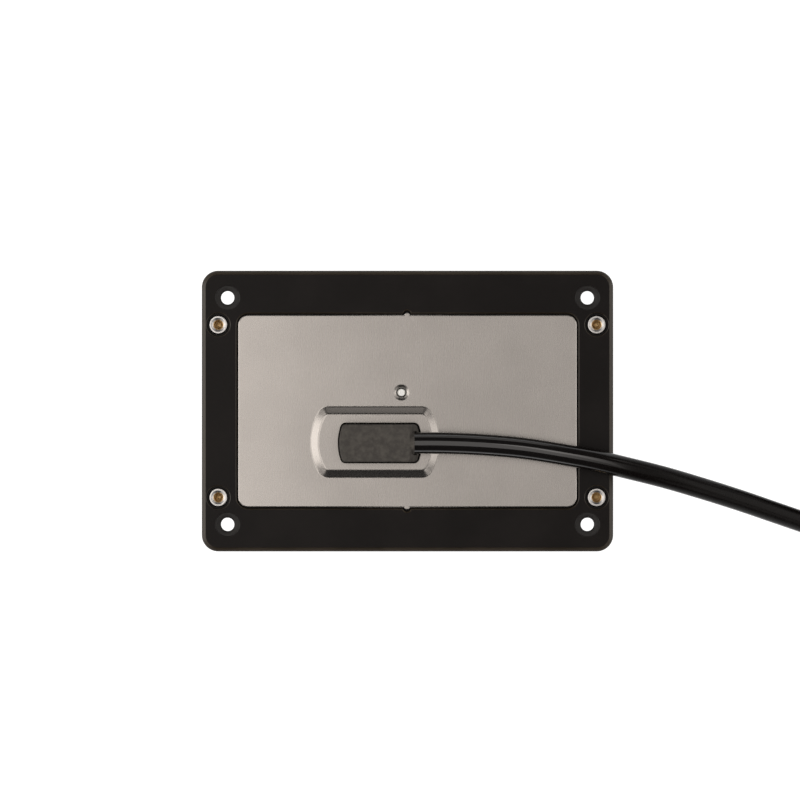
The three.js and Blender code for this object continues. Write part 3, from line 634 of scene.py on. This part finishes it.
class Form:
    """A mesh made of rings of points, each extruded to the next, and of flat caps between rings."""

    def __init__(self) -> None:
        """Starts an empty mesh."""
        self.mesh = bmesh.new()

    def ring(self, points: list[Vector]) -> list[bmesh.types.BMVert]:
        """Lays one closed ring of edges.

        Args:
            points: its points in order.

        Returns:
            The ring's vertices in order.
        """
        verts = [self.mesh.verts.new(p) for p in points]
        for first, second in zip(verts, verts[1:] + verts[:1]):
            self.mesh.edges.new((first, second))
        return verts

    def grow(self, ring: list[bmesh.types.BMVert], points: list[Vector]) -> list[bmesh.types.BMVert]:
        """Extrudes a ring to new points.

        Args:
            ring: the ring's vertices in order.
            points: as many points, in the same order.

        Returns:
            The new ring's vertices in order.
        """
        edges = self.edges_of(ring)
        made = bmesh.ops.extrude_edge_only(self.mesh, edges=edges)["geom"]
        fresh = {v for v in made if isinstance(v, bmesh.types.BMVert)}
        grown = []
        for vert, point in zip(ring, points):
            partner = next(
                edge.other_vert(vert) for edge in vert.link_edges if edge.other_vert(vert) in fresh
            )
            partner.co = point
            grown.append(partner)
        return grown

    def chain(
        self, start: list[Vector], rings: list[list[Vector]]
    ) -> tuple[list[bmesh.types.BMVert], list[bmesh.types.BMVert]]:
        """Runs a wall through several rings.

        Args:
            start: the first ring's points.
            rings: the points of each further ring.

        Returns:
            The first and the last ring's vertices.
        """
        first = self.ring(start)
        last = first
        for points in rings:
            last = self.grow(last, points)
        return first, last

    @staticmethod
    def edges_of(ring: list[bmesh.types.BMVert]) -> list[bmesh.types.BMEdge]:
        """Finds the edges along a ring.

        Args:
            ring: the ring's vertices in order.

        Returns:
            The edges.
        """
        found = []
        for first, second in zip(ring, ring[1:] + ring[:1]):
            found.append(next(e for e in first.link_edges if e.other_vert(first) is second))
        return found

    def cap(self, *rings: list[bmesh.types.BMVert]) -> None:
        """Fills the flat space between an outer ring and the rings inside it.

        Args:
            *rings: the rings that bound the space.
        """
        edges = [edge for ring in rings for edge in self.edges_of(ring)]
        bmesh.ops.triangle_fill(self.mesh, use_beauty=True, use_dissolve=False, edges=edges)
        for edge in edges:
            edge.smooth = False

    def turn(self, profile: list[Pair], centre: Point, axis: Vector, steps: int = 48) -> None:
        """Spins a profile into a closed round solid.

        Args:
            profile: (radius, height) pairs in millimetres that start and end on the axis or meet.
            centre: the axis's foot in millimetres.
            axis: the direction of height.
            steps: segments round.
        """
        foot = Vector(centre) * MM
        side = axis.orthogonal().normalized()
        points = [foot + side * (r * MM) + axis * (h * MM) for r, h in profile]
        verts = [self.mesh.verts.new(p) for p in points]
        edges = [self.mesh.edges.new(pair) for pair in zip(verts, verts[1:])]
        bmesh.ops.spin(
            self.mesh,
            geom=verts + edges,
            cent=foot,
            axis=axis,
            angle=2 * math.pi,
            steps=steps,
            use_merge=True,
            use_duplicate=False,
        )

    def finish(self, name: str, body: str, slot: str, sharp_deg: float = 35.0) -> bpy.types.Object:
        """Turns the mesh into a piece that rides on a body.

        Args:
            name: the piece's name.
            body: the CAD body that it rides on.
            slot: the record's material slot; not used.
            sharp_deg: edges that turn by more stay sharp.

        Returns:
            The piece.
        """
        bmesh.ops.remove_doubles(self.mesh, verts=self.mesh.verts, dist=1e-7)
        bmesh.ops.recalc_face_normals(self.mesh, faces=self.mesh.faces)
        for face in self.mesh.faces:
            face.smooth = True
        for edge in self.mesh.edges:
            if len(edge.link_faces) == 2 and edge.calc_face_angle(0.0) > math.radians(sharp_deg):
                edge.smooth = False
        data = bpy.data.meshes.new(name)
        self.mesh.to_mesh(data)
        self.mesh.free()
        piece = bpy.data.objects.new(name, data)
        bpy.context.scene.collection.objects.link(piece)
        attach(piece, body)
        LOG.info("made %s with %d faces", name, len(data.polygons))
        return piece


def dress(piece: bpy.types.Object, *materials: bpy.types.Material) -> None:
    """Gives a piece its materials in place of any that it has.

    Args:
        piece: the object.
        *materials: the materials, in slot order.
    """
    piece.data.materials.clear()
    for material in materials:
        piece.data.materials.append(material)


# ------------------------------------------------------------------ studio


@dataclass(frozen=True)
class Softbox:
    """One rectangular area light."""

    name: str
    place: Point
    size: Pair
    watts: float
    aim: Point = (0.0, 0.0, 0.03)

    def hang(self, colour: Colour) -> None:
        """Hangs the light, facing its aim.

        Args:
            colour: the light's colour.
        """
        data = bpy.data.lights.new(self.name, "AREA")
        data.shape = "RECTANGLE"
        data.size, data.size_y = self.size
        data.energy = self.watts
        data.color = colour
        light = bpy.data.objects.new(self.name, data)
        light.location = self.place
        facing = Vector(self.aim) - Vector(self.place)
        light.rotation_euler = facing.to_track_quat("-Z", "Y").to_euler()
        bpy.context.scene.collection.objects.link(light)


@dataclass
class Studio:
    """The camera, the pale floor, the soft lights and the world."""

    view_width: float = 266.7 * MM
    view_height: float = 42.0 * MM
    centre: Pair = (-2.5 * MM, 3.7 * MM)
    distance: float = 1.2
    sensor: float = 36.0
    clip_end: float = 20.0
    world_colour: Colour = (0.95, 0.94, 0.93)
    light_colour: Colour = (1.0, 0.955, 0.915)
    world_strength: float = 0.035
    floor_reach: float = 4.0
    floor_gap: float = 0.0002
    floor_glow: float = 0.99
    far_glow: float = 0.5
    pool_radius: float = 0.24
    fade_radius: float = 1.5
    wall_radius: float = 3.6
    wall_height: float = 0.42
    wall_glow: float = 0.61
    fill_reach: float = 1.1
    fill_height: float = 0.75
    fill_size: Pair = (0.8, 0.55)
    fill_watts: float = 1.9
    low: tuple[Softbox, ...] = (
        Softbox("left_low_softbox", (-1.2, 0.0, 0.42), (1.1, 0.8), 7.6),
        Softbox("right_low_softbox", (1.2, 0.0, 0.42), (1.1, 0.8), 5.0),
        Softbox("back_low_softbox", (0.0, 1.4, 0.45), (0.9, 0.4), 0.55),
    )
    overhead: tuple[Softbox, ...] = (
        Softbox("top_softbox", (0.0, 0.0, 1.75), (1.4, 1.5), 5.6, (0.0, 0.0, 0.0)),
        Softbox("left_top_softbox", (-0.6, 0.0, 0.85), (0.9, 1.0), 4.9, (-0.5, 0.0, 0.0)),
        Softbox("right_top_softbox", (0.75, 0.05, 0.85), (0.9, 1.0), 2.7, (0.6, 0.0, 0.0)),
    )

    def set_camera(self) -> None:
        """Places the camera straight above, looking down."""
        data = bpy.data.cameras.new("camera")
        data.sensor_width = self.sensor
        data.lens = self.sensor * self.distance / self.view_width
        data.clip_end = self.clip_end
        camera = bpy.data.objects.new("camera", data)
        camera.location = (*self.centre, self.view_height + self.distance)
        bpy.context.scene.collection.objects.link(camera)
        bpy.context.scene.camera = camera

    def set_world(self) -> None:
        """Gives the room a pale even light."""
        world = bpy.data.worlds.new("room")
        world.use_nodes = True
        background = world.node_tree.nodes["Background"]
        background.inputs["Color"].default_value = (*self.world_colour, 1.0)
        background.inputs["Strength"].default_value = self.world_strength
        bpy.context.scene.world = world
        bpy.context.scene.view_settings.view_transform = "Standard"

    def lay_floor(self) -> None:
        """Lays a large pale floor under the object."""
        mesh = bmesh.new()
        bmesh.ops.create_grid(mesh, x_segments=1, y_segments=1, size=self.floor_reach)
        data = bpy.data.meshes.new("floor")
        mesh.to_mesh(data)
        mesh.free()
        floor = bpy.data.objects.new("floor", data)
        bpy.context.scene.collection.objects.link(floor)
        floor.location.z = -self.floor_gap
        sheet = NodeSheet("floor_paper")
        where = sheet.place()
        cloud = sheet.noise(where, 3.0, 2.0, 0.5)
        patches = sheet.ramp(cloud, 0.3, 0.7, 0.0, 1.0)
        tone = sheet.blend(patches, (0.22, 0.22, 0.22), (0.26, 0.26, 0.26))
        paper = sheet.add("ShaderNodeBsdfDiffuse", {}, {"Color": tone})
        reach = sheet.add("ShaderNodeVectorMath", {"operation": "LENGTH"}, {0: where}, "Value")
        lit = sheet.ramp(reach, self.pool_radius, self.fade_radius, self.floor_glow, self.far_glow)
        glow = sheet.add("ShaderNodeEmission", {}, {"Color": (1.0, 1.0, 1.0, 1.0), "Strength": lit})
        sheet.add_output(sheet.add("ShaderNodeAddShader", {}, {0: paper, 1: glow}))
        data.materials.append(sheet.material)

    def raise_wall(self) -> None:
        """Raises a low pale wall far round the floor, as the background of low views."""
        mesh = bmesh.new()
        circle = bmesh.ops.create_circle(mesh, segments=96, radius=self.wall_radius)["verts"]
        edges = list({edge for vert in circle for edge in vert.link_edges})
        made = bmesh.ops.extrude_edge_only(mesh, edges=edges)["geom"]
        for vert in made:
            if isinstance(vert, bmesh.types.BMVert):
                vert.co.z = self.wall_height
        data = bpy.data.meshes.new("wall")
        mesh.to_mesh(data)
        mesh.free()
        wall = bpy.data.objects.new("wall", data)
        bpy.context.scene.collection.objects.link(wall)
        sheet = NodeSheet("wall_paper")
        cloud = sheet.noise(sheet.place(), 2.0, 2.0, 0.5)
        tone = sheet.blend(cloud, (0.8, 0.8, 0.8), (0.86, 0.86, 0.86))
        glow = sheet.add("ShaderNodeEmission", {}, {"Color": tone, "Strength": self.wall_glow})
        sheet.add_output(glow)
        data.materials.append(sheet.material)

    def fills(self) -> list[Softbox]:
        """Lists the weak fill lights, one over each corner of the room."""
        corners = four_corners(self.fill_reach, self.fill_reach)
        return [
            Softbox(f"fill_{index}", (*corner, self.fill_height), self.fill_size, self.fill_watts)
            for index, corner in enumerate(corners, 1)
        ]

    def build(self) -> None:
        """Builds the whole studio."""
        self.set_camera()
        self.set_world()
        self.lay_floor()
        self.raise_wall()
        for softbox in (*self.low, *self.fills(), *self.overhead):
            softbox.hang(self.light_colour)


# ------------------------------------------------------------------ lead


# The points that the lead is threaded through, in millimetres, before and after its coil.
LEAD_ROUTE: list[Point] = [
    (-0.5, -10.6, 48.4),
    (11, -10.6, 48.4),
    (24, -11.1, 48.2),
    (38, -12.3, 47.6),
    (51, -14.3, 46.9),
    (62, -16.3, 46.2),
    (73, -18.9, 44.9),
    (85, -21.9, 41.6),
    (98, -25.7, 36.0),
    (112, -30.1, 28.4),
    (126.4, -35.0, 20.2),
    (140, -39.6, 12.6),
    (154, -44.0, 6.8),
    (163, -46.6, 4.6),
]
TAIL_ROUTE: list[Point] = [
    (228.6, -28.4, 10.3),
    (233.2, -21.6, 9.8),
    (237.1, -14.4, 9.2),
    (242.3, 1.0, 8.1),
    (244.1, 17.1, 7.6),
]


@dataclass
class Lead:
    """The sheathed lead: over the plate, down to the surface, wound up, and into its plug."""

    sheath: bpy.types.Material
    diameter: float = 7.2
    coil_centre: Pair = (187.0, -4.0)
    columns: tuple[float, float, float] = (47.2, 39.8, 32.4)
    low: float = 3.7
    layer: float = 7.3
    start_deg: float = -104.0
    turns: float = 5.15
    points_per_turn: int = 24
    shift: float = 0.25
    inward_at: Pair = (0.75, 1.75)
    outward_at: Pair = (3.15, 4.15)
    climb_at: float = 2.45

    @staticmethod
    def ease(value: float) -> float:
        """Goes smoothly from 0 to 1."""
        value = max(0.0, min(1.0, value))
        return value * value * (3 - 2 * value)

    def coil_point(self, turn: float) -> Point:
        """Gives a point of the coil.

        The lower layer winds inwards, the lead climbs at the inner column, and the upper
        layer winds back outwards.

        Args:
            turn: how many turns from the coil's start.

        Returns:
            The point in millimetres.
        """
        outer, middle, inner = self.columns
        radius = outer
        starts = (*self.inward_at, *self.outward_at)
        steps = (middle - outer, inner - middle, middle - inner, outer - middle)
        for start, step in zip(starts, steps):
            radius += step * self.ease((turn - start) / self.shift)
        height = self.low + self.layer * self.ease((turn - self.climb_at) / self.shift)
        angle = math.radians(self.start_deg) + 2 * math.pi * turn
        x, y = self.coil_centre
        return (x + radius * math.cos(angle), y + radius * math.sin(angle), height)

    def controls(self) -> list[Vector]:
        """Lists the points that the lead runs through.

        Returns:
            The points in millimetres.
        """
        count = round(self.turns * self.points_per_turn)
        coil = [self.coil_point(self.turns * i / count) for i in range(count + 1)]
        return [Vector(p) for p in (*LEAD_ROUTE, *coil, *TAIL_ROUTE)]

    @staticmethod
    def smooth(points: list[Vector], steps: int = 4) -> list[Vector]:
        """Runs a centripetal Catmull-Rom curve through the points.

        Args:
            points: the points to pass through.
            steps: samples between each pair.

        Returns:
            The curve's samples.
        """
        padded = [points[0] * 2 - points[1], *points, points[-1] * 2 - points[-2]]
        made: list[Vector] = []
        for p0, p1, p2, p3 in zip(padded, padded[1:], padded[2:], padded[3:]):
            spans = ((p0, p1), (p1, p2), (p2, p3))
            d1, d2, d3 = (max((b - a).length, 1e-6) ** 0.5 for a, b in spans)
            m1 = ((p1 - p0) / d1 - (p2 - p0) / (d1 + d2) + (p2 - p1) / d2) * d2
            m2 = ((p2 - p1) / d2 - (p3 - p1) / (d2 + d3) + (p3 - p2) / d3) * d2
            for i in range(steps):
                t = i / steps
                h1, h2 = 2 * t**3 - 3 * t**2 + 1, t**3 - 2 * t**2 + t
                h3, h4 = -2 * t**3 + 3 * t**2, t**3 - t**2
                made.append(p1 * h1 + m1 * h2 + p2 * h3 + m2 * h4)
        return [*made, points[-1]]

    def build(self) -> bpy.types.Object:
        """Returns:
            The lead.
        """
        path = [p * MM for p in self.smooth(self.controls())]
        data = bpy.data.curves.new("lead", "CURVE")
        data.dimensions = "3D"
        data.bevel_depth = self.diameter / 2 * MM
        data.bevel_resolution = 6
        data.use_fill_caps = True
        data.twist_mode = "MINIMUM"
        spline = data.splines.new("POLY")
        spline.points.add(len(path) - 1)
        for point, place in zip(spline.points, path):
            point.co = (*place, 1.0)
        spline.use_smooth = True
        lead = bpy.data.objects.new("lead", data)
        bpy.context.scene.collection.objects.link(lead)
        data.materials.append(self.sheath)
        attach(lead, "housing")
        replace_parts(lead, "lead_cord", "lead_coil", "lead_tail")
        length = sum((b - a).length for a, b in zip(path, path[1:]))
        LOG.info("lead is %.3f m long", length)
        return lead


# ------------------------------------------------------------------ housing


class ShellFinish(IntEnum):
    """The material slots of the moulded shell."""

    GRAINED = 0
    # Bevelled edges: glossier, and lighter brown in colour as a painted sheen.
    POLISHED_WITH_PAINTED_SHEEN = 1
    RING = 2


@dataclass
class Housing:
    """The moulded shell: flange, tray, screw holes, insert bores and the tag nest's window."""

    finishes: tuple[bpy.types.Material, ...]
    flange: RoundedPanel = RoundedPanel(137.3, 93.7, 5.5)
    body: RoundedPanel = RoundedPanel(117.0, 68.0, 10.0)
    window: RoundedPanel = RoundedPanel(113.9, 65.0, 3.8, 1.35, -0.15, 32.2)
    cavity: RoundedPanel = RoundedPanel(110.5, 61.5, 7.0)
    nest: RoundedPanel = RoundedPanel(70.0, 31.0, 5.0)
    pipe: Circle = Circle(-46.5, 0.0, 2.3, 32)
    screw_profile: tuple[Pair, ...] = (
        (4.2, BACK_Z), (4.0, 41.85), (3.9, 41.72), (2.45, 41.7), (2.25, 41.5), (2.25, 39.7),
        (4.6, FLANGE_FOOT_Z),
    )
    insert_profile: tuple[Pair, ...] = (
        (4.15, BACK_Z), (3.95, 41.85), (3.95, 41.0), (3.3, 41.0), (3.3, 33.1)
    )
    boss_profile: tuple[Pair, ...] = ((4.4, FLANGE_FOOT_Z), (4.4, 31.9), (4.0, 31.5))
    rim_steps: tuple[Pair, ...] = (
        (1.35, BACK_Z), (1.2, 41.93), (0.2, 41.1), (0.06, 40.92), (0.0, 40.7), (0.0, 38.2), (0.2, 37.7),
        (0.7, FLANGE_FOOT_Z),
    )
    body_steps: tuple[Pair, ...] = (
        (0.0, FLANGE_FOOT_Z), (0.0, 1.6), (0.12, 0.99), (0.47, 0.47), (0.99, 0.12), (1.6, 0.0)
    )
    window_steps: tuple[Pair, ...] = ((-0.35, BACK_Z), (-0.1, 41.9), (0.0, 41.65), (0.0, 40.2))
    cavity_steps: tuple[Pair, ...] = ((0, 40.2), (0, 5.0), (0.6, 3.4), (2.0, 3.0))
    nest_steps: tuple[Pair, ...] = ((-0.5, 0), (0, 0.5), (0, 3))
    pipe_steps: tuple[Pair, ...] = ((-0.2, 0), (0, 0.2), (0, 3))
    tilt: Pair = (0.2, 0.97)
    painted_sheen_above: float = 40.8
    painted_sheen_beyond: float = 4.5
    ring_above: float = 41.4
    ring_within: float = 4.3

    def _choose(self, centre: Vector, normal: Vector) -> ShellFinish:
        """Chooses a face's finish.

        Args:
            centre: the face's middle in millimetres.
            normal: its normal.

        Returns:
            Polished with a painted sheen on the bevelled edges, ring round the screw holes, otherwise
            grained.
        """
        reach = min(math.dist(centre.xy, at) for at in SCREWS_AT)
        tilted = self.tilt[0] < normal.z < self.tilt[1]
        # Tilted bevel faces get the glossier finish whose lighter brown colour is a painted sheen.
        if tilted and centre.z > self.painted_sheen_above and reach > self.painted_sheen_beyond:
            return ShellFinish.POLISHED_WITH_PAINTED_SHEEN
        if centre.z > self.ring_above and reach < self.ring_within:
            return ShellFinish.RING
        return ShellFinish.GRAINED

    def build(self) -> bpy.types.Object:
        """Builds the shell.

        Returns:
            The shell.
        """
        form = Form()
        rim_top, rim_foot = self._wall(form, self.flange, self.rim_steps)
        body_foot, body_front = self._wall(form, self.body, self.body_steps)
        holes = [self._hole(form, at, self.screw_profile) for at in SCREWS_AT]
        bores = [self._hole(form, at, self.insert_profile) for at in INSERTS_AT]
        bosses = [self._hole(form, at, self.boss_profile) for at in INSERTS_AT]
        for _, end in (*bores, *bosses):
            form.cap(end)
        window_top, ledge = self._wall(form, self.window, self.window_steps)
        cavity_top, cavity_floor = self._wall(form, self.cavity, self.cavity_steps)
        nest_front, nest_back = self._wall(form, self.nest, self.nest_steps)
        pipe_front, pipe_back = self._wall(form, self.pipe, self.pipe_steps)
        form.cap(rim_top, window_top, *(top for top, _ in (*holes, *bores)))
        form.cap(rim_foot, body_foot, *(foot for _, foot in holes), *(top for top, _ in bosses))
        form.cap(ledge, cavity_top)
        form.cap(cavity_floor, nest_back, pipe_back)
        form.cap(body_front, nest_front, pipe_front)
        shell = form.finish("moulded_shell", "housing", "black_plastic", 50.0)
        dress(shell, *self.finishes)
        for face in shell.data.polygons:
            face.material_index = self._choose(face.center / MM, face.normal)
        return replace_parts(shell, "housing_shell")

    @staticmethod
    def _wall(form: Form, outline: Outline, steps: tuple[Pair, ...]) -> tuple:
        """Runs one wall along an outline.

        Args:
            form: the mesh.
            outline: the wall's outline.
            steps: (inset, height) pairs, in order.

        Returns:
            The wall's first and last ring.
        """
        rings = [outline.at(*step) for step in steps]
        return form.chain(rings[0], rings[1:])

    @staticmethod
    def _hole(form: Form, at: Pair, profile: tuple[Pair, ...]) -> tuple:
        """Runs one round hole through the flange.

        Args:
            form: the mesh.
            at: the hole's centre.
            profile: (radius, height) pairs from the back to the underside.

        Returns:
            The hole's first and last ring.
        """
        rings = [Circle(*at, radius).at(0, height) for radius, height in profile]
        return form.chain(rings[0], rings[1:])


@dataclass
class BackPlate:
    """The steel plate with its raised island, the relief's slot and the stud's dimple."""

    finish: bpy.types.Material
    outline: RoundedPanel = RoundedPanel(113.1, 64.2, 3.4, 1.0, -0.15, 32.0)
    island: BowedPanel = BowedPanel(-10.8, -10.3, 42.7, 23.4, 20.0, 4.0)
    slot: BowedPanel = BowedPanel(-9.2, -10.6, 26.8, 12.3, 16.7, 1.2)
    foot: float = 40.5
    rim_steps: tuple[Pair, ...] = ((0.4, BACK_Z), (0.12, 41.88), (0.0, 41.6))
    island_steps: tuple[Pair, ...] = (
        (-0.35, 0.0), (-0.12, 0.03), (0.1, 0.14), (0.32, 0.3), (1.95, 1.53), (2.2, 1.68), (2.4, 1.76),
        (2.7, 1.8),
    )
    slot_steps: tuple[Pair, ...] = ((-0.65, 43.8), (-0.45, 43.73), (-0.35, 43.5))
    bowl_steps: tuple[Pair, ...] = ((2.7, BACK_Z), (2.5, 41.93), (2.0, 41.62), (1.74, 41.5), (1.7, 41.4))

    def build(self) -> bpy.types.Object:
        """Builds the plate.

        Returns:
            The plate.
        """
        form = Form()
        rim = [self.outline.at(*step) for step in (*self.rim_steps, (0.0, self.foot))]
        rim_top, rim_foot = form.chain(rim[0], rim[1:])
        island = [self.island.at(inset, BACK_Z + rise) for inset, rise in self.island_steps]
        island_foot, plateau = form.chain(island[0], island[1:])
        slot = [self.slot.at(*step) for step in (*self.slot_steps, (-0.35, self.foot))]
        slot_top, slot_foot = form.chain(slot[0], slot[1:])
        bowl = [Circle(*STUD_AT, r).at(0, z) for r, z in (*self.bowl_steps, (1.7, self.foot))]
        bowl_top, bowl_foot = form.chain(bowl[0], bowl[1:])
        form.cap(rim_top, island_foot, bowl_top)
        form.cap(plateau, slot_top)
        form.cap(rim_foot, slot_foot, bowl_foot)
        plate = form.finish("brushed_plate", "housing", "plate_steel", 50.0)
        dress(plate, self.finish)
        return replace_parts(plate, "base_plate")


@dataclass
class FlangeInserts:
    """The four threaded inserts in the flange, nickel outside and bare brass in the bore."""

    nickel: bpy.types.Material
    brass: bpy.types.Material
    pitch: float = 0.7
    crest: float = 1.45
    root: float = 1.68
    thread_top: float = 40.9
    thread_end: float = 37.0
    ring_foot: float = 41.0
    bore_reach: float = 1.75

    def thread_profile(self) -> list[Pair]:
        """Gives one insert's profile: its ring, its chamfer and its grooved bore.

        Returns:
            (radius, height) pairs round the section.
        """
        thread = [(1.72, 40.95), (1.62, self.thread_top)]
        height = self.thread_top
        while height > self.thread_end:
            thread += [(self.crest, height - self.pitch * share) for share in (0.3, 0.4)]
            thread += [(self.root, height - self.pitch * share) for share in (0.95, 1.0)]
            height -= self.pitch
        bottom = [(1.4, 36.2), (0.9, 36.0), (0.0, 35.6)]
        ring = [(2.2, 41.32), (2.4, 41.4), (2.72, 41.4), (2.9, 41.35), (2.98, 41.2)]
        outside = [(2.98, 33.5), (2.9, 33.4), (0.0, 33.4)]
        return [*reversed(bottom), *reversed(thread), *ring, *outside]

    def build(self) -> None:
        """Builds the four inserts."""
        profile = self.thread_profile()
        for index, at in enumerate(INSERTS_AT, 1):
            form = Form()
            form.turn(profile, (*at, 0.0), UP)
            insert = form.finish(f"flange_insert_{index}", "housing", "brass")
            dress(insert, self.nickel, self.brass)
            for face in insert.data.polygons:
                reach = math.dist(face.center.xy / MM, at)
                in_bore = reach < self.bore_reach and face.center.z < self.ring_foot * MM
                face.material_index = int(in_bore)
            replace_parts(insert, f"threaded_insert_{index}")


@dataclass
class ReturnSpring:
    """The plunger's wire spring, at its rest length."""

    finish: bpy.types.Material
    foot: Point = (-26.6, 2.0, 13.25)
    rise: float = 5.2
    radius: float = 2.2
    wire: float = 0.25
    turns: float = 4.5
    dead_turns: float = 0.6
    steps: int = 28
    stroke: float = 2.5

    def coil(self) -> list[Point]:
        """Gives the wire's centreline, with flat turns at both ends.

        Returns:
            The points in metres.
        """
        x, y, low = self.foot
        count = round(self.turns * self.steps)
        made = []
        for index in range(count + 1):
            turn = self.turns * index / count
            share = (turn - self.dead_turns) / (self.turns - 2 * self.dead_turns)
            height = low + self.rise * max(0.0, min(1.0, share))
            angle = 2 * math.pi * turn
            point = (x + self.radius * math.cos(angle), y + self.radius * math.sin(angle), height)
            made.append(tuple(c * MM for c in point))
        return made

    def build(self) -> bpy.types.Object:
        """Builds the spring and ties it to the housing.

        Returns:
            The spring.
        """
        line = bpy.data.curves.new("spring_line", "CURVE")
        line.dimensions = "3D"
        line.bevel_depth = self.wire * MM
        line.bevel_resolution = 3
        line.use_fill_caps = True
        spline = line.splines.new("POLY")
        path = self.coil()
        spline.points.add(len(path) - 1)
        for point, place in zip(spline.points, path):
            point.co = (*place, 1.0)
        holder = bpy.data.objects.new("spring_line", line)
        form = Form()
        form.mesh.from_mesh(bpy.data.meshes.new_from_object(holder))
        bpy.data.objects.remove(holder)
        spring = form.finish("return_spring", "housing", "steel")
        dress(spring, self.finish)
        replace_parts(spring, "plunger_spring")
        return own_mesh(spring)


# ------------------------------------------------------------------ finishes of the CAD nodes


@dataclass
class Palette:
    """One finish for every material slot, shared by the pieces."""

    made: dict[str, bpy.types.Material] = field(default_factory=dict)

    def build(self) -> None:
        """Makes every finish."""
        black = MouldedPlastic("black_moulding", (0.0042, 0.0030, 0.0026), 0.4, 2600.0, 0.00003, 0.1)
        finishes = {
            "black_plastic": black,
            "grey_plastic": MouldedPlastic("grey_moulding", (0.16, 0.165, 0.17), 0.45),
            "white_plastic": MouldedPlastic("white_moulding", (0.7, 0.7, 0.68), 0.4),
            "rubber": MouldedRubber("relief_rubber", (0.038, 0.034, 0.03), (0.072, 0.066, 0.058)),
            "cord_sheath": LeadSheath("lead_sheath", (0.004, 0.0032, 0.003)),
            "plate_steel": BrushedMetal("brushed_plate", (0.34, 0.32, 0.302), 0.27, Lay.ALONG_Y),
            "steel": PlatedMetal("bright_steel", (0.62, 0.61, 0.6), (0.5, 0.47, 0.44), 0.28),
            "zinc": PlatedMetal("plated_zinc", (0.66, 0.66, 0.65), (0.5, 0.5, 0.46), 0.38),
            "brass": PlatedMetal("machined_brass", (0.62, 0.44, 0.22), (0.5, 0.34, 0.17), 0.45),
            "bronze": PlatedMetal("sintered_bronze", (0.45, 0.29, 0.16), (0.3, 0.2, 0.12), 0.5),
            "acetal": MouldedPlastic("acetal_moulding", (0.75, 0.73, 0.66), 0.35),
            "board": BoardLaminate("board_laminate", (0.01, 0.09, 0.04), (0.03, 0.16, 0.07)),
            "lens": ClearLens("clear_lens", (0.75, 0.85, 0.78)),
        }
        for slot, finish in finishes.items():
            self.made[slot] = finish.make()
        extra = {
            "nickel": PlatedMetal("bright_nickel", (0.46, 0.45, 0.44), (0.4, 0.39, 0.38), 0.34),
            # The bevels' finish: glossier black plastic whose lighter brown colour is a painted sheen, not
            # the plastic's own tone.
            "edge": MouldedPlastic("polished_edge_painted_sheen", (0.017, 0.0115, 0.0055), 0.36, 2600.0, 0.00001, 0.34),
            "ring": MouldedPlastic("seat_ring", (0.011, 0.010, 0.0095), 0.5, 2600.0, 0.00002, 0.22),
        }
        self.made.update({slot: finish.make() for slot, finish in extra.items()})

    def dress_frame(self) -> None:
        """Gives every CAD node the finish of its slot."""
        for part in frame["record"]["subparts"]:
            node = frame["nodes"][part["node"]]
            dress(node, self.made[part["material_slot"]])


def main() -> None:
    logging.basicConfig(level=logging.INFO)
    palette = Palette()
    palette.build()
    palette.dress_frame()
    Studio().build()
    made = palette.made
    Lead(made["cord_sheath"]).build()
    Housing((made["black_plastic"], made["edge"], made["ring"])).build()
    BackPlate(made["plate_steel"]).build()
    FlangeInserts(made["nickel"], made["brass"]).build()
    ReturnSpring(made["steel"]).build()


if __name__ == "__main__":
    main()
